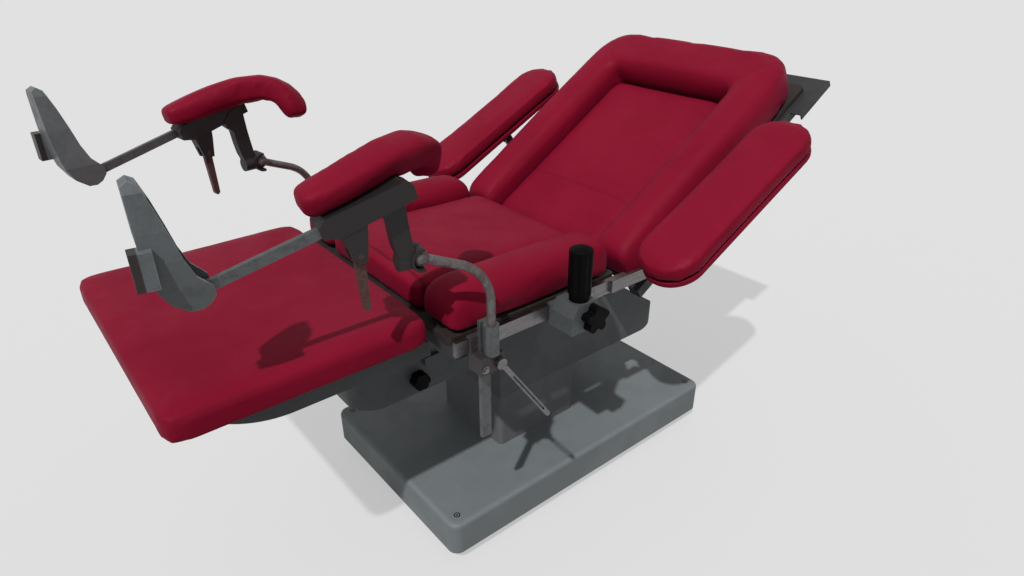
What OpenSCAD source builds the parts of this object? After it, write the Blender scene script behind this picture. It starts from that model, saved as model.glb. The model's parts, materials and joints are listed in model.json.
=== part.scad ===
/* [Base] */
// Length of the base cover
base_l = 848; // [820:2:880]
// Width of the base cover
base_w = 538; // [520:2:560]
// Height of the base cover from its lower edge to its top
base_h = 83; // [78:1:90]
// Floor to the lower edge of the base cover
base_gap = 32; // [30:1:40]
// Corner radius of the base cover in plan
base_r = 24; // [20:1:40]
// Radius of the base cover's top edge
base_edge_r = 12; // [6:1:16]
// Wall of the base cover
base_wall = 4; // [3:0.5:5]
// Diameter of a castor wheel
castor_d = 60; // [56:1:62]
// Swivel axis of a castor, in from the side of the base cover
castor_in_x = 64; // [64:1:75]
// Swivel axis of a castor, in from the end of the base cover
castor_in_y = 69; // [67:1:80]

/* [Lift] */
// Width of the fixed column cover
column_w = 242; // [230:1:246]
// Length of the fixed column cover
column_l = 246; // [236:1:250]
// Height of the fixed column cover's top edge above the floor
column_top = 325; // [315:1:328]
// Column centre from the base centre, toward the foot when negative
column_y = -55; // [-58:1:-52]
// Width of the moving casing
casing_w = 260; // [250:2:270]
// Height of the casing's lower edge at the column
casing_z = 265; // [255:1:275]
// Height of the casing's lower edge at its foot part
casing_foot_z = 386; // [380:1:400]
// Height of the casing's flat top
casing_top = 500; // [498:1:502]
// Foot end of the casing
casing_foot_y = -540; // [-545:1:-530]
// Head end of the casing
casing_head_y = 357; // [350:1:364]
// Wall of the casing
casing_wall = 4; // [3:0.5:4]

/* [Seat] */
// Width of the seat, back and leg cushions
table_w = 600; // [580:2:610]
// Height of the seat board's top
deck_z = 603; // [601:1:612]
// Thickness of the seat and back boards
board_t = 12; // [10:1:14]
// Foot end of the seat cushions
seat_foot_y = -427; // [-430:1:-425]
// Head end of the seat cushions
seat_head_y = 3; // [-4:1:4]
// Width of one side bolster
bolster_w = 113; // [100:1:118]
// Thickness of the bolsters
bolster_t = 95; // [85:1:98]
// Thickness of the centre cushions
panel_t = 62; // [54:1:68]
// Height of the side rail's section
rail_h = 30; // [25:1:32]
// Thickness of the side rail
rail_t = 10; // [8:0.5:10]

/* [Back] */
// Angle of the back above level, as stored
back_rest_deg = 32; // [28:1:36]
// Back hinge from the base centre
hinge_y = 160; // [158:1:164]
// Back cushion's lower end, measured down from the hinge
back_below = 101; // [96:1:102]
// Length of the back cushion
back_l = 694; // [680:2:700]
// Reach of the head plate past each side of the cushion
head_plate_side = 30; // [20:1:40]
// Reach of the head plate past the cushion
head_plate_past = 32; // [24:1:50]

/* [Armrests] */
// Length of an armrest
arm_l = 516; // [490:2:530]
// Width of an armrest
arm_w = 156; // [140:1:158]
// Thickness of an armrest cushion
arm_t = 44; // [36:1:50]
// Gap between the back cushion and an armrest
arm_gap = 22; // [20:1:32]
// Slope of an armrest against the back
arm_slope = -5; // [-8:1:0]

/* [Leg section] */
// Length of the leg cushion
leg_l = 462; // [440:2:480]
// Thickness of the leg cushion
leg_t = 56; // [50:1:60]
// Leg tray's side, in from the side of the leg cushion
tray_side_in = 28; // [20:1:40]
// Length of the leg tray
tray_l = 365; // [345:1:372]
// Depth of the leg tray
tray_h = 30; // [26:1:32]

/* [Leg supports] */
// Diameter of the bent rod
rod_d = 16; // [14:0.5:18]
// Bend radius of the rod
rod_bend_r = 90; // [80:1:92]
// Rise of the rod toward the ball, in degrees
rod_rise = 23; // [20:1:28]
// Diameter of the ball
ball_d = 31; // [28:0.5:34]
// Width of the knee pad
crutch_w = 62; // [54:1:70]
// Thickness of the knee pad
crutch_t = 46; // [38:1:50]
// Length of the height bar
height_bar_l = 260; // [240:1:280]
// Length of the foot bar
foot_bar_l = 290; // [280:1:300]
// Height of the foot plate's sole above its pivot
sole_h = 160; // [150:1:170]

/* [Hand grips] */
// Diameter of a hand grip
grip_d = 46; // [40:1:48]
// Height of a hand grip
grip_h = 112; // [100:1:130]

/* [Hidden] */

// Gap between seated pieces, running gap round a shaft, and overrun of a cut
seat_gap = 0.3;
run_gap = 0.05;
over = 1;
smooth = 48;

// Base frame: tubes, plate under the post, swivel housings
base_top = base_gap + base_h;
base_tube_w = 40;
base_tube_h = 30;
castor_x = base_w / 2 - castor_in_x;
castor_y = base_l / 2 - castor_in_y;
base_tube_in = 30;
base_tube_x = castor_x - base_tube_in;
base_tube_top = base_top - base_wall - seat_gap;
base_tube_z = base_tube_top - base_tube_h;
base_tube_end = 25;
base_plate_t = 6;
base_plate_l = 190;
race_r = 21;
race_h = 13;

// Castors: swivel pin, crown, legs, axle and wheel
castor_trail = 24;
castor_turn = 46;
castor_pin_r = 5;
crown_r = 20;
crown_t = 4;
crown_play = 0.4;
fork_leg_t = 3;
fork_boss_r = 8;
axle_r = 4;
castor_z = castor_d / 2;
wheel_w = 24;
wheel_play = 2;
wheel_hub_r = 9;
wheel_rim_r = 22;
wheel_web = 5;
tread_round = 4;

// Column cover, post, guide pads, mast and lifting actuator
column_r = 12;
column_wall = 3;
post_w = 120;
post_wall = 5;
post_top = 340;
mast_w = 104;
mast_wall = 5;
mast_z = 235;
liner_w = 80;
liner_h = 60;
mast_plate_w = 220;
mast_plate_t = 8;
mast_plate_foot = 40;
cylinder_r = 34;
cylinder_top = 345;
cylinder_floor = 13;
push_rod_r = 14;
push_rod_z = 250;

// Casing: corner radii, slope toward the head, slots
casing_foot_r = 60;
casing_front_r = 24;
casing_head_r = 24;
casing_slope_y = 120;
nose_r = 47;
nose_z = casing_z + nose_r;
casing_clear = 2;
casing_front_y = column_y - column_l / 2 - casing_wall - casing_clear;
strut_slot_w = 60;
strut_slot_foot = 112;
strut_slot_head = 216;
catch_l = 36;
catch_h = 18;
catch_t = 10;
catch_y = -388;
catch_z = 452;

// Carrier: deck, guides of the leg section, arms of the strut
deck_t = 6;
deck_drop = 6;
deck_w = 228;
slide_x = 80;
slide_w = 28;
slide_wall = 3;
slide_z = 467;
guide_in = 10;
guide_foot_y = casing_foot_y + casing_wall + guide_in;
guide_head_y = column_y - column_l / 2 - 2 * casing_clear;
strut_y = 190;
strut_z = 538;
strut_arm_t = 6;
strut_arm_level = 65;
strut_arm_rise = 36;
strut_arm_knee = 12;
strut_arm_low = 20;
strut_pin_r = 6;
strut_eye_r = 16;
strut_eye_w = 30;

// Seat frame, rails and hinge ears
frame_h = 30;
frame_z = deck_z - board_t - frame_h;
frame_rail_x = 90;
frame_rail_w = 40;
cross_w = 30;
cross_in = 22;
cross_mid = 237;
cross_ys = [seat_foot_y + cross_in, seat_foot_y + cross_mid, seat_head_y - cross_in];
board_inset = 10;
seat_roll = 6;
seat_dip = 8;
panel_share = 0.22;
leg_share = 0.16;
bolster_short = 12;
bolster_dip = 4;
rail_x = table_w / 2;
rail_drop = 0.5;
rail_top = deck_z - rail_drop;
rail_in = 2;
rail_past = 17;
rail_foot_y = seat_foot_y + rail_in;
rail_head_y = seat_head_y + rail_past;
ear_t = 8;
ear_foot_y = -32;
ear_h = 30;
ear_r = 20;
hinge_drop = 13;
hinge_z = deck_z - hinge_drop;
pin_r = 8;
pin_past = 3;
knuckle_r = 12;

// Back: heights above the hinge, square to the cushion
back_deck_n = hinge_drop;
back_board_n = back_deck_n - board_t;
back_frame_h = 25;
back_tube_w = 30;
back_cross_foot = 41;
back_cross_head = 163;
back_strut_u = 250;
back_strut_n = -44;
clevis_t = 6;
clevis_r = 10;
clevis_pin_r = 5;
clevis_play = 4.5;
head_plate_w = table_w + 2 * head_plate_side;
head_plate_t = 3;
head_plate_u = 500;
head_flange = 15;
back_head_u = back_l - back_below;
head_u = back_head_u + head_plate_past;
back_cross_us = [back_cross_foot - back_below, back_strut_u, back_head_u - back_cross_head];
bolster_head_l = 158;
bolster_inner_r = 14;
back_bolster_t = 106;
back_seam_share = 0.3;

// Armrests: post on the back frame, pivot, lug and board
arm_pivot_u = 127;
arm_pivot_n = 72;
arm_x = table_w / 2 + arm_gap + arm_w / 2;
arm_post_reach = 45;
arm_post_x = table_w / 2 + arm_post_reach;
arm_post_t = 12;
arm_post_w = 22;
arm_pin_r = 8;
arm_lug_t = 8;
arm_lug_r = 16;
arm_board_t = 11;
arm_board_inset = 12;
arm_n = 117;

// Leg section: cushion, tray and slide tubes
leg_gap = 23;
leg_head_y = seat_foot_y - leg_gap;
leg_foot_y = leg_head_y - leg_l;
tray_in = 5;
tray_head_y = leg_head_y - tray_in;
tray_w = table_w - 2 * tray_side_in;
tray_wall = 2.5;
tray_curl = 110;
tray_post_l = 50;
tray_post_y = -640;
slide_head_y = -200;
knob_y = -404;
knob_z = 424;
knob_r = 19;
knob_h = 22;
knob_shaft_r = 6;

// Leg supports: clamp, bar and sleeve
clamp_y = -372;
hook_plate_t = 8;
bar_x = rail_x + rail_t + hook_plate_t;
bar_t = 8;
bar_w = 22;
bar_top = 640;
clamp_w = 52;
clamp_z = 540;
clamp_jaw_h = 36;
clamp_jaw_t = 22;
clamp_jaw_x = bar_x + bar_t + clamp_jaw_t;
hook_t = 5;
hook_in = 6;
sleeve_reach = 27;
sleeve_x = bar_x + sleeve_reach;
sleeve_r = 14;
sleeve_z = 580;
sleeve_floor = 4;
lever_y = clamp_y + 14;
lever_z = 557;
lever_hub_r = 11;
lever_t = 5;
lever_l = 148;
lever_w = 10;
lever_out = 50;
lever_drop_deg = -58.5;
lever_screw_r = 4;
lever_slot_w = 4;

// Leg supports: ball, bracket, pad, lever and foot bar, measured from the ball
ball_reach = 23;
ball_x = rail_x + ball_reach;
ball_y = -496;
ball_z = 799;
socket_r = 20;
socket_side = 17;
socket_cut = 4;
barrel_r = 15;
barrel_l = 38;
toe_in = 7.35;
bar_line_x = 26;
bar_line_z = 127.8;
bar_drop_deg = 14.7;
foot_bar_t = 8;
foot_bar_w = 16;
foot_bar_head = -36;
foot_bar_travel = 50;
bracket_l = 160;
body_in = 6;
body_out = 36;
body_x = [-body_in, body_out];
body_shares = [[-1.012, -0.056], [-1.012, 0.062], [-0.938, 0.113], [-0.163, 0.113], [-0.087, 0.05],
    [-0.087, -0.087], [-0.875, -0.113]];
body_points = bracket_l * body_shares;
arm_shares = [[-0.412, 0.625], [-0.3, 0.75], [-0.15, 0.8], [-0.125, 0.469], [-0.106, 0.312],
    [-0.081, 0.138], [-0.05, 0.05], [-0.138, -0.062], [-0.219, 0.037], [-0.263, 0.156], [-0.287, 0.281],
    [-0.312, 0.469], [-0.388, 0.537]];
arm_points = bracket_l * arm_shares;
arm_in = 8;
arm_out = 14;
arm_side = [-arm_in, arm_out];
boss_shares = [[-0.831, 0.588], [-0.556, 0.625], [-0.562, 0.438], [-0.588, 0.188], [-0.713, 0.188],
    [-0.756, 0.344]];
boss_points = bracket_l * boss_shares;
boss_in = 6;
boss_out = 34;
boss_side = [boss_in, boss_out];
fork_gap = 11.6;
fork_top = 52;
pad_lever_y = -104;
pad_lever_z = 40;
pad_lever_l = 92;
pad_lever_w = 16;
pad_lever_t = 11;
pad_lever_deg = 3;
pad_lever_pin_r = 4;
pad_roll = 9;
crutch_l = 250;
pad_path_shares = [[0.024, -0.696, 0.492], [0.024, -0.412, 0.508], [-0.12, 0.248, 0.88],
    [-0.368, 0.22, 0.396]];
pad_path = crutch_l * pad_path_shares;

// Foot plate, measured from its pivot: side outline, front outline and the hollow in both
foot_eye_r = 9;
foot_pin_r = 4;
shell_side_shares = [[-0.406, 0.988], [-0.35, 1.025], [-0.294, 0.988], [-0.225, 0.787], [-0.163, 0.562],
    [-0.113, 0.362], [-0.05, 0.2], [0.062, 0.075], [0.069, -0.013], [0.013, -0.087], [-0.056, -0.125],
    [-0.144, -0.119], [-0.263, -0.025], [-0.338, 0.113], [-0.375, 0.3], [-0.4, 0.55]];
shell_side = sole_h * shell_side_shares;
shell_front_shares = [[-0.113, -0.131], [0.125, -0.131], [0.188, 0.125], [0.231, 0.375], [0.244, 0.625],
    [0.237, 0.938], [0.188, 1.031], [0.037, 1.031], [-0.013, 0.938], [-0.075, 0.562], [-0.125, 0.125]];
shell_front = sole_h * shell_front_shares;
hollow_side_shares = [[-0.369, 0.875], [-0.369, 0.55], [-0.344, 0.3], [-0.306, 0.125], [-0.237, 0],
    [-0.138, -0.087], [-0.056, -0.094], [0.019, -0.062], [0.25, -0.062], [0.25, 0.875]];
hollow_side = sole_h * hollow_side_shares;
hollow_front_shares = [[-0.087, -0.188], [0.094, -0.188], [0.156, 0.125], [0.2, 0.375], [0.212, 0.625],
    [0.206, 0.938], [0.019, 0.938], [-0.044, 0.562], [-0.094, 0.125]];
hollow_front = sole_h * hollow_front_shares;
shell_from = -80;
shell_to = 60;
lug_t = 5;
lug_shares = [[0.056, 0], [0.037, -0.05], [-0.037, -0.106], [-0.113, -0.106], [-0.163, -0.062],
    [-0.056, 0.013]];
lug_points = sole_h * lug_shares;
stop_in = 24;
stop_out = 46;
stop_back = 76;
stop_front = 50;
stop_low = 32;
stop_high = 82;

// Hand grips: block on the rail, bore, knob
grip_y = -164;
grip_reach = 52;
grip_x = rail_x + grip_reach;
grip_block_w = 76;
grip_block_in = 12;
grip_block_slope = 24;
grip_block_reach = 76;
grip_block_x = rail_x + grip_block_reach;
grip_block_z = 562;
grip_block_top = 622;
grip_stem_r = 10;
grip_cap = 10;
grip_foot_h = 12;
grip_waist = 3;
grip_dome = 8;
dome_r = (grip_d * grip_d / 4 + grip_dome * grip_dome) / (2 * grip_dome);
grip_flute_r = 14;
grip_flute_d = 2.5;
grip_knob_y = -152;
grip_knob_z = 590;
lobe_r = 9;
lobe_circle = 20;
grip_knob_t = 20;

// Shift that puts the middle of the whole length at y = 0
table_head_y = hinge_y + head_u * cos(back_rest_deg) - (back_board_n - head_flange) * sin(back_rest_deg);
base_shift_y = -(leg_foot_y + table_head_y) / 2;

module placed(c) {
    color(c) translate([0, base_shift_y, 0]) children();
}

module left() {
    mirror([1, 0, 0]) children();
}

module both() {
    children();
    left() children();
}

// A block between two places on each axis
module block(x, y, z) {
    translate([x[0], y[0], z[0]]) cube([x[1] - x[0], y[1] - y[0], z[1] - z[0]]);
}

module rod_x(r, x, y, z) {
    translate([x[0], y, z]) rotate([0, 90, 0]) cylinder(r = r, h = x[1] - x[0], $fn = smooth);
}

module rod_z(r, x, y, z) {
    translate([x, y, z[0]]) cylinder(r = r, h = z[1] - z[0], $fn = smooth);
}

// Rectangle with round corners between two places on each axis
module round_rect(x, y, r) {
    translate([x[0] + r, y[0]]) square([x[1] - x[0] - 2 * r, y[1] - y[0]]);
    translate([x[0], y[0] + r]) square([x[1] - x[0], y[1] - y[0] - 2 * r]);
    for (cx = [x[0] + r, x[1] - r], cy = [y[0] + r, y[1] - r])
        translate([cx, cy]) circle(r = r, $fn = smooth);
}

module slab(x, y, z, r) {
    translate([0, 0, z[0]]) linear_extrude(z[1] - z[0]) round_rect(x, y, r);
}

// Outline in the Y-Z plane, given thickness along X
module side_plate(x) {
    translate([x[0], 0, 0]) rotate([90, 0, 90]) linear_extrude(x[1] - x[0]) children();
}

// Square tube standing upright
module square_tube(w, wall, z) {
    difference() {
        block([-w / 2, w / 2], [-w / 2, w / 2], z);
        block([wall - w / 2, w / 2 - wall], [wall - w / 2, w / 2 - wall], [z[0] - over, z[1] + over]);
    }
}

// Closed skin over rings of equal count, of triangles
function ring_mid(r) = [for (a = [0:2]) (min([for (p = r) p[a]]) + max([for (p = r) p[a]])) / 2];

module skin(rings) {
    n = len(rings[0]);
    m = len(rings) - 1;
    points = concat([for (r = rings) each r], [ring_mid(rings[0]), ring_mid(rings[m])]);
    sides = [
        for (j = [0:m - 1], k = [0:n - 1]) let (a = j * n + k, b = j * n + (k + 1) % n)
            each [[a, b, b + n], [a, b + n, a + n]]
    ];
    caps = [
        for (k = [0:n - 1]) let (q = (k + 1) % n)
            each [[(m + 1) * n, q, k], [(m + 1) * n + 1, m * n + k, m * n + q]]
    ];
    polyhedron(points = points, faces = concat(sides, caps));
}

// Power that keeps its sign, and the stations from one end of a cushion to the other
function spow(v, e) = sign(v) * pow(abs(v), e);
function swings(m, limit_deg) = [for (j = [0:m]) -limit_deg + 2 * limit_deg * j / m];

// Section of a cushion: flat below, crowned above, sides drawn in under the crown
function pad_section(w, below, above, e_low, e_top, n) = [
    for (k = [0:n - 1]) let (a = 360 * k / n, up = sin(a) >= 0, e = up ? e_top : e_low)
        [w / 2 * spow(cos(a), e), (up ? above : below) * spow(sin(a), e)]
];

// Shares that shape the cushions
flat_share = 0.12;
crown_share = 0.34;
roll_share = 0.62;
low_part_share = 0.3;
plan_share = 0.12;
end_deg = 87;

// Cushion lying from y[0] to y[1], its underside at z, with its thickness at both ends
module cushion(w, y, z, t_foot, t_head, e_plan, e_top, n, m, x = 0) {
    l = y[1] - y[0];
    mid = (y[0] + y[1]) / 2;
    skin([
        for (b = swings(m, end_deg))
            let (s = spow(sin(b), e_plan), c = pow(cos(b), e_plan), h = pow(cos(b), e_top),
                 t = t_foot + (t_head - t_foot) * (s + 1) / 2, low = t * low_part_share)
            [for (p = pad_section(w * c, low * h, (t - low) * h, flat_share, e_top, n))
                [x + p[0], mid + s * l / 2, z + low + p[1]]]
    ]);
}

// Base and column
module base_outline(inset, z) {
    slab([inset - base_w / 2, base_w / 2 - inset], [inset - base_l / 2, base_l / 2 - inset], z,
        base_r - inset);
}

// Body of the cover with a true round along its top edge
module base_body() {
    lift = base_top - base_edge_r;
    sx = base_w / 2 - base_r;
    sy = base_l / 2 - base_r;
    base_outline(0, [base_gap, lift]);
    base_outline(base_edge_r, [base_gap, base_top]);
    for (mx = [-1, 1]) translate([mx * (base_w / 2 - base_edge_r), 0, lift])
        rotate([90, 0, 0]) cylinder(r = base_edge_r, h = 2 * sy, center = true, $fn = smooth);
    for (my = [-1, 1]) translate([0, my * (base_l / 2 - base_edge_r), lift])
        rotate([0, 90, 0]) cylinder(r = base_edge_r, h = 2 * sx, center = true, $fn = smooth);
    for (mx = [-1, 1], my = [-1, 1]) translate([mx * sx, my * sy, lift])
        rotate_extrude($fn = smooth) translate([base_r - base_edge_r, 0])
        circle(r = base_edge_r, $fn = smooth);
}

module base_cover() {
    hole = post_w / 2 + over;
    placed("slategray") difference() {
        base_body();
        base_outline(base_wall, [base_gap - over, base_top - base_wall]);
        translate([0, column_y, 0])
            block([-hole, hole], [-hole, hole], [base_gap, base_top + over]);
    }
}

module base_frame() {
    half = base_tube_w / 2;
    placed("dimgray") difference() {
        union() {
            both() block([base_tube_x - half, base_tube_x + half],
                [base_tube_end - base_l / 2, base_l / 2 - base_tube_end], [base_tube_z, base_tube_top]);
            for (y = [-castor_y, castor_y])
                block([-castor_x - race_r, castor_x + race_r], [y - race_r, y + race_r],
                    [base_tube_z, base_tube_top]);
            block([-base_tube_x, base_tube_x], [column_y - base_plate_l / 2, column_y + base_plate_l / 2],
                [base_tube_z, base_tube_z + base_plate_t]);
            for (x = [-castor_x, castor_x], y = [-castor_y, castor_y])
                rod_z(race_r, x, y, [base_tube_z - race_h, base_tube_top]);
        }
        for (x = [-castor_x, castor_x], y = [-castor_y, castor_y])
            rod_z(castor_pin_r + run_gap, x, y, [base_tube_z - race_h - over, base_tube_z + over]);
    }
}

module column_outline(inset) {
    w = column_w / 2 - inset;
    l = column_l / 2 - inset;
    round_rect([-w, w], [-l, l], column_r - inset / 2);
}

module column_cover() {
    placed("rosybrown") translate([0, column_y, base_top]) difference() {
        linear_extrude(column_top - base_top) column_outline(0);
        translate([0, 0, -over]) linear_extrude(column_top - base_top + 2 * over)
            column_outline(column_wall);
    }
}

// Post with the guide pads fixed inside its upper end
module base_post() {
    placed("gray") translate([0, column_y, 0]) {
        square_tube(post_w, post_wall, [base_tube_z + base_plate_t, post_top]);
        for (a = [0:90:270]) rotate([0, 0, a])
            block([mast_w / 2 + run_gap, post_w / 2 - post_wall], [-liner_w / 2, liner_w / 2],
                [post_top - liner_h, post_top]);
    }
}

module lift_cylinder() {
    foot = base_tube_z + base_plate_t;
    placed("silver") translate([0, column_y, 0]) difference() {
        rod_z(cylinder_r, 0, 0, [foot, cylinder_top]);
        rod_z(push_rod_r + run_gap, 0, 0, [foot + cylinder_floor, cylinder_top + over]);
    }
}

// Castors, drawn at the foot end on the right
module castor_place(mx, my) {
    placed("dimgray") translate([mx * castor_x, my * castor_y, 0]) mirror([mx < 0 ? 1 : 0, 0, 0])
        rotate([0, 0, castor_turn]) children();
}

module castor_fork(mx, my) {
    crown_z = base_tube_z - race_h - crown_play;
    leg_x = wheel_w / 2 + wheel_play;
    castor_place(mx, my) {
        rod_z(castor_pin_r, 0, 0, [crown_z - crown_t, base_tube_z]);
        rod_z(crown_r, 0, 0, [crown_z - crown_t, crown_z]);
        both() side_plate([leg_x, leg_x + fork_leg_t]) union() {
            polygon([[crown_r / 2, crown_z], [-crown_r, crown_z], [-castor_trail - fork_boss_r, castor_z],
                [fork_boss_r - castor_trail, castor_z], [crown_r / 2, crown_z - crown_t]]);
            translate([-castor_trail, castor_z]) circle(r = fork_boss_r, $fn = smooth);
        }
        rod_x(axle_r, [-leg_x - fork_leg_t, leg_x + fork_leg_t], -castor_trail, castor_z);
    }
}

module castor_wheel(mx, my) {
    half = wheel_w / 2;
    r = castor_d / 2;
    castor_place(mx, my) translate([0, -castor_trail, castor_z]) rotate([0, 90, 0])
        rotate_extrude($fn = smooth) polygon([
            [axle_r + run_gap, -half - over], [wheel_hub_r, -half - over], [wheel_hub_r, -half + wheel_web],
            [wheel_rim_r, -half + wheel_web], [wheel_rim_r, -half], [r - tread_round, -half],
            [r, -half + tread_round],
            [r, half - tread_round], [r - tread_round, half], [wheel_rim_r, half],
            [wheel_rim_r, half - wheel_web],
            [wheel_hub_r, half - wheel_web], [wheel_hub_r, half + over], [axle_r + run_gap, half + over]
        ]);
}

// Casing: a plan outline with round corners, cut by a side outline
module casing_plan(inset) {
    w = casing_w / 2 - inset;
    round_rect([-w, w], [casing_foot_y + inset, 0], casing_foot_r - inset);
    round_rect([-w, w], [casing_front_y + inset, 0], casing_front_r - inset);
    round_rect([-w, w], [casing_front_y + inset + casing_front_r, casing_head_y + over],
        casing_head_r - inset);
}

// Flat top, slope and round nose; the slope runs tangent to the nose
module casing_side(inset) {
    nose_y = casing_head_y - nose_r;
    run = [nose_y - casing_slope_y, casing_top - nose_z];
    fall = atan2(run[1], run[0]) - asin((nose_r - inset) / norm(run));
    polygon([
        [casing_foot_y - over, casing_foot_z + inset], [casing_front_y + inset, casing_foot_z + inset],
        [casing_front_y + inset, casing_z + inset], [nose_y, casing_z + inset], [nose_y, nose_z],
        [nose_y + (nose_r - inset) * sin(fall), nose_z + (nose_r - inset) * cos(fall)],
        [casing_slope_y, casing_top - inset], [casing_foot_y - over, casing_top - inset]
    ]);
    translate([nose_y, nose_z]) circle(r = nose_r - inset, $fn = smooth);
}

module casing_body(inset) {
    intersection() {
        linear_extrude(2 * casing_top) casing_plan(inset);
        side_plate([-casing_w, casing_w]) casing_side(inset);
    }
}

module casing() {
    gap = slide_w / 2 + 2 * over;
    placed("slategray") difference() {
        union() {
            difference() {
                casing_body(0);
                casing_body(casing_wall);
            }
            block([casing_w / 2 - over, casing_w / 2 + catch_t], [catch_y, catch_y + catch_l],
                [catch_z, catch_z + catch_h]);
        }
        translate([0, column_y, casing_z - over]) linear_extrude(casing_wall + 2 * over)
            column_outline(-over);
        translate([0, column_y, 0]) block([-mast_w / 2 - seat_gap, mast_w / 2 + seat_gap],
            [-mast_w / 2 - seat_gap, mast_w / 2 + seat_gap],
            [casing_top - casing_wall - over, casing_top + over]);
        both() block([slide_x - gap, slide_x + gap],
            [casing_foot_y - over, casing_foot_y + casing_wall + guide_in - over],
            [slide_z - gap, slide_z + gap]);
        block([-strut_slot_w / 2, strut_slot_w / 2], [strut_slot_foot, strut_slot_head],
            [nose_z, casing_top + over]);
        rod_x(knob_shaft_r + run_gap, [casing_w / 2 - casing_wall - over, casing_w / 2 + over], knob_y,
            knob_z);
    }
}

module mast() {
    foot = column_y - mast_w / 2 - mast_plate_foot;
    plate_z = frame_z - mast_plate_t;
    placed("lightgray") {
        translate([0, column_y, 0]) square_tube(mast_w, mast_wall, [mast_z, plate_z]);
        slab([-mast_plate_w / 2, mast_plate_w / 2], [foot, column_y + mast_w / 2], [plate_z, frame_z],
            mast_wall);
        rod_z(push_rod_r, 0, column_y, [push_rod_z, plate_z]);
    }
}

// Arm of the strut bracket, from under the deck up to the strut's pin
module strut_arm() {
    top = casing_top - casing_wall - deck_drop;
    low = top - slide_w / 2 - deck_t;
    foot = column_y + post_w / 2 + over;
    side_plate([strut_eye_w / 2 + over, strut_eye_w / 2 + over + strut_arm_t]) union() {
        polygon([[foot, low], [foot, top], [strut_y - strut_arm_level, top],
            [strut_y - strut_arm_rise, top + strut_arm_knee], [strut_y - strut_eye_r, strut_z],
            [strut_y + strut_eye_r, strut_z],
            [strut_y + strut_arm_knee, top], [strut_y - strut_arm_low, low - strut_arm_knee],
            [casing_slope_y, low]]);
        translate([strut_y, strut_z]) circle(r = strut_eye_r, $fn = smooth);
    }
}

module carrier() {
    top = casing_top - casing_wall - deck_drop;
    outer = slide_w / 2 + slide_wall;
    inner = slide_w / 2 + run_gap;
    hole = mast_w / 2 + seat_gap;
    placed("dimgray") difference() {
        union() {
            block([-deck_w / 2, deck_w / 2], [guide_foot_y + casing_foot_r, casing_slope_y - over],
                [top - deck_t, top]);
            both() block([slide_x - outer, slide_x + outer], [guide_foot_y, guide_head_y],
                [slide_z - outer, top - deck_t]);
            both() strut_arm();
            rod_x(strut_pin_r, [-strut_eye_w / 2 - over, strut_eye_w / 2 + over], strut_y, strut_z);
        }
        both() block([slide_x - inner, slide_x + inner], [guide_foot_y - over, guide_head_y + over],
            [slide_z - inner, slide_z + inner]);
        translate([0, column_y, 0]) block([-hole, hole], [-hole, hole], [top - 2 * slide_w, top + over]);
    }
}

// Seat
module seat_frame() {
    placed("dimgray") {
        both() block([frame_rail_x - frame_rail_w / 2, frame_rail_x + frame_rail_w / 2],
            [cross_ys[0] - cross_w / 2, cross_ys[2] + cross_w / 2], [frame_z, frame_z + frame_h]);
        for (y = cross_ys)
            block([-rail_x, rail_x], [y - cross_w / 2, y + cross_w / 2], [frame_z, frame_z + frame_h]);
    }
}

module seat_board() {
    placed("burlywood") slab([board_inset - table_w / 2, table_w / 2 - board_inset],
        [seat_foot_y, seat_head_y],
        [deck_z - board_t, deck_z], board_inset);
}

module seat_pad() {
    w = table_w - 2 * bolster_w - 8 * seat_gap;
    placed("crimson") cushion(w, [seat_foot_y, seat_head_y], deck_z + seat_gap,
        panel_t + seat_roll, panel_t - seat_dip, plan_share, panel_share, 28, 14);
}

module seat_bolster() {
    placed("crimson") cushion(bolster_w, [seat_foot_y, seat_head_y - bolster_short], deck_z + seat_gap,
        bolster_t, bolster_t - bolster_dip, 2 * crown_share / 3, roll_share, 28, 14,
        table_w / 2 - bolster_w / 2 - seat_gap);
}

// Side rail with the ear and the pin of the back hinge
module side_rail() {
    x0 = rail_x + rail_t;
    placed("silver") {
        block([rail_x, x0], [rail_foot_y, rail_head_y], [rail_top - rail_h, rail_top]);
        block([x0, x0 + ear_t], [ear_foot_y, hinge_y], [hinge_z - ear_h / 2, rail_top]);
        rod_x(ear_r, [x0, x0 + ear_t], hinge_y, hinge_z);
        rod_x(pin_r, [rail_x - back_tube_w + over, x0 + ear_t + pin_past], hinge_y, hinge_z);
    }
}

// Back, drawn lying with its hinge at the origin, then raised
module back_place() {
    translate([0, hinge_y, hinge_z]) rotate([back_rest_deg, 0, 0]) children();
}

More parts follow.
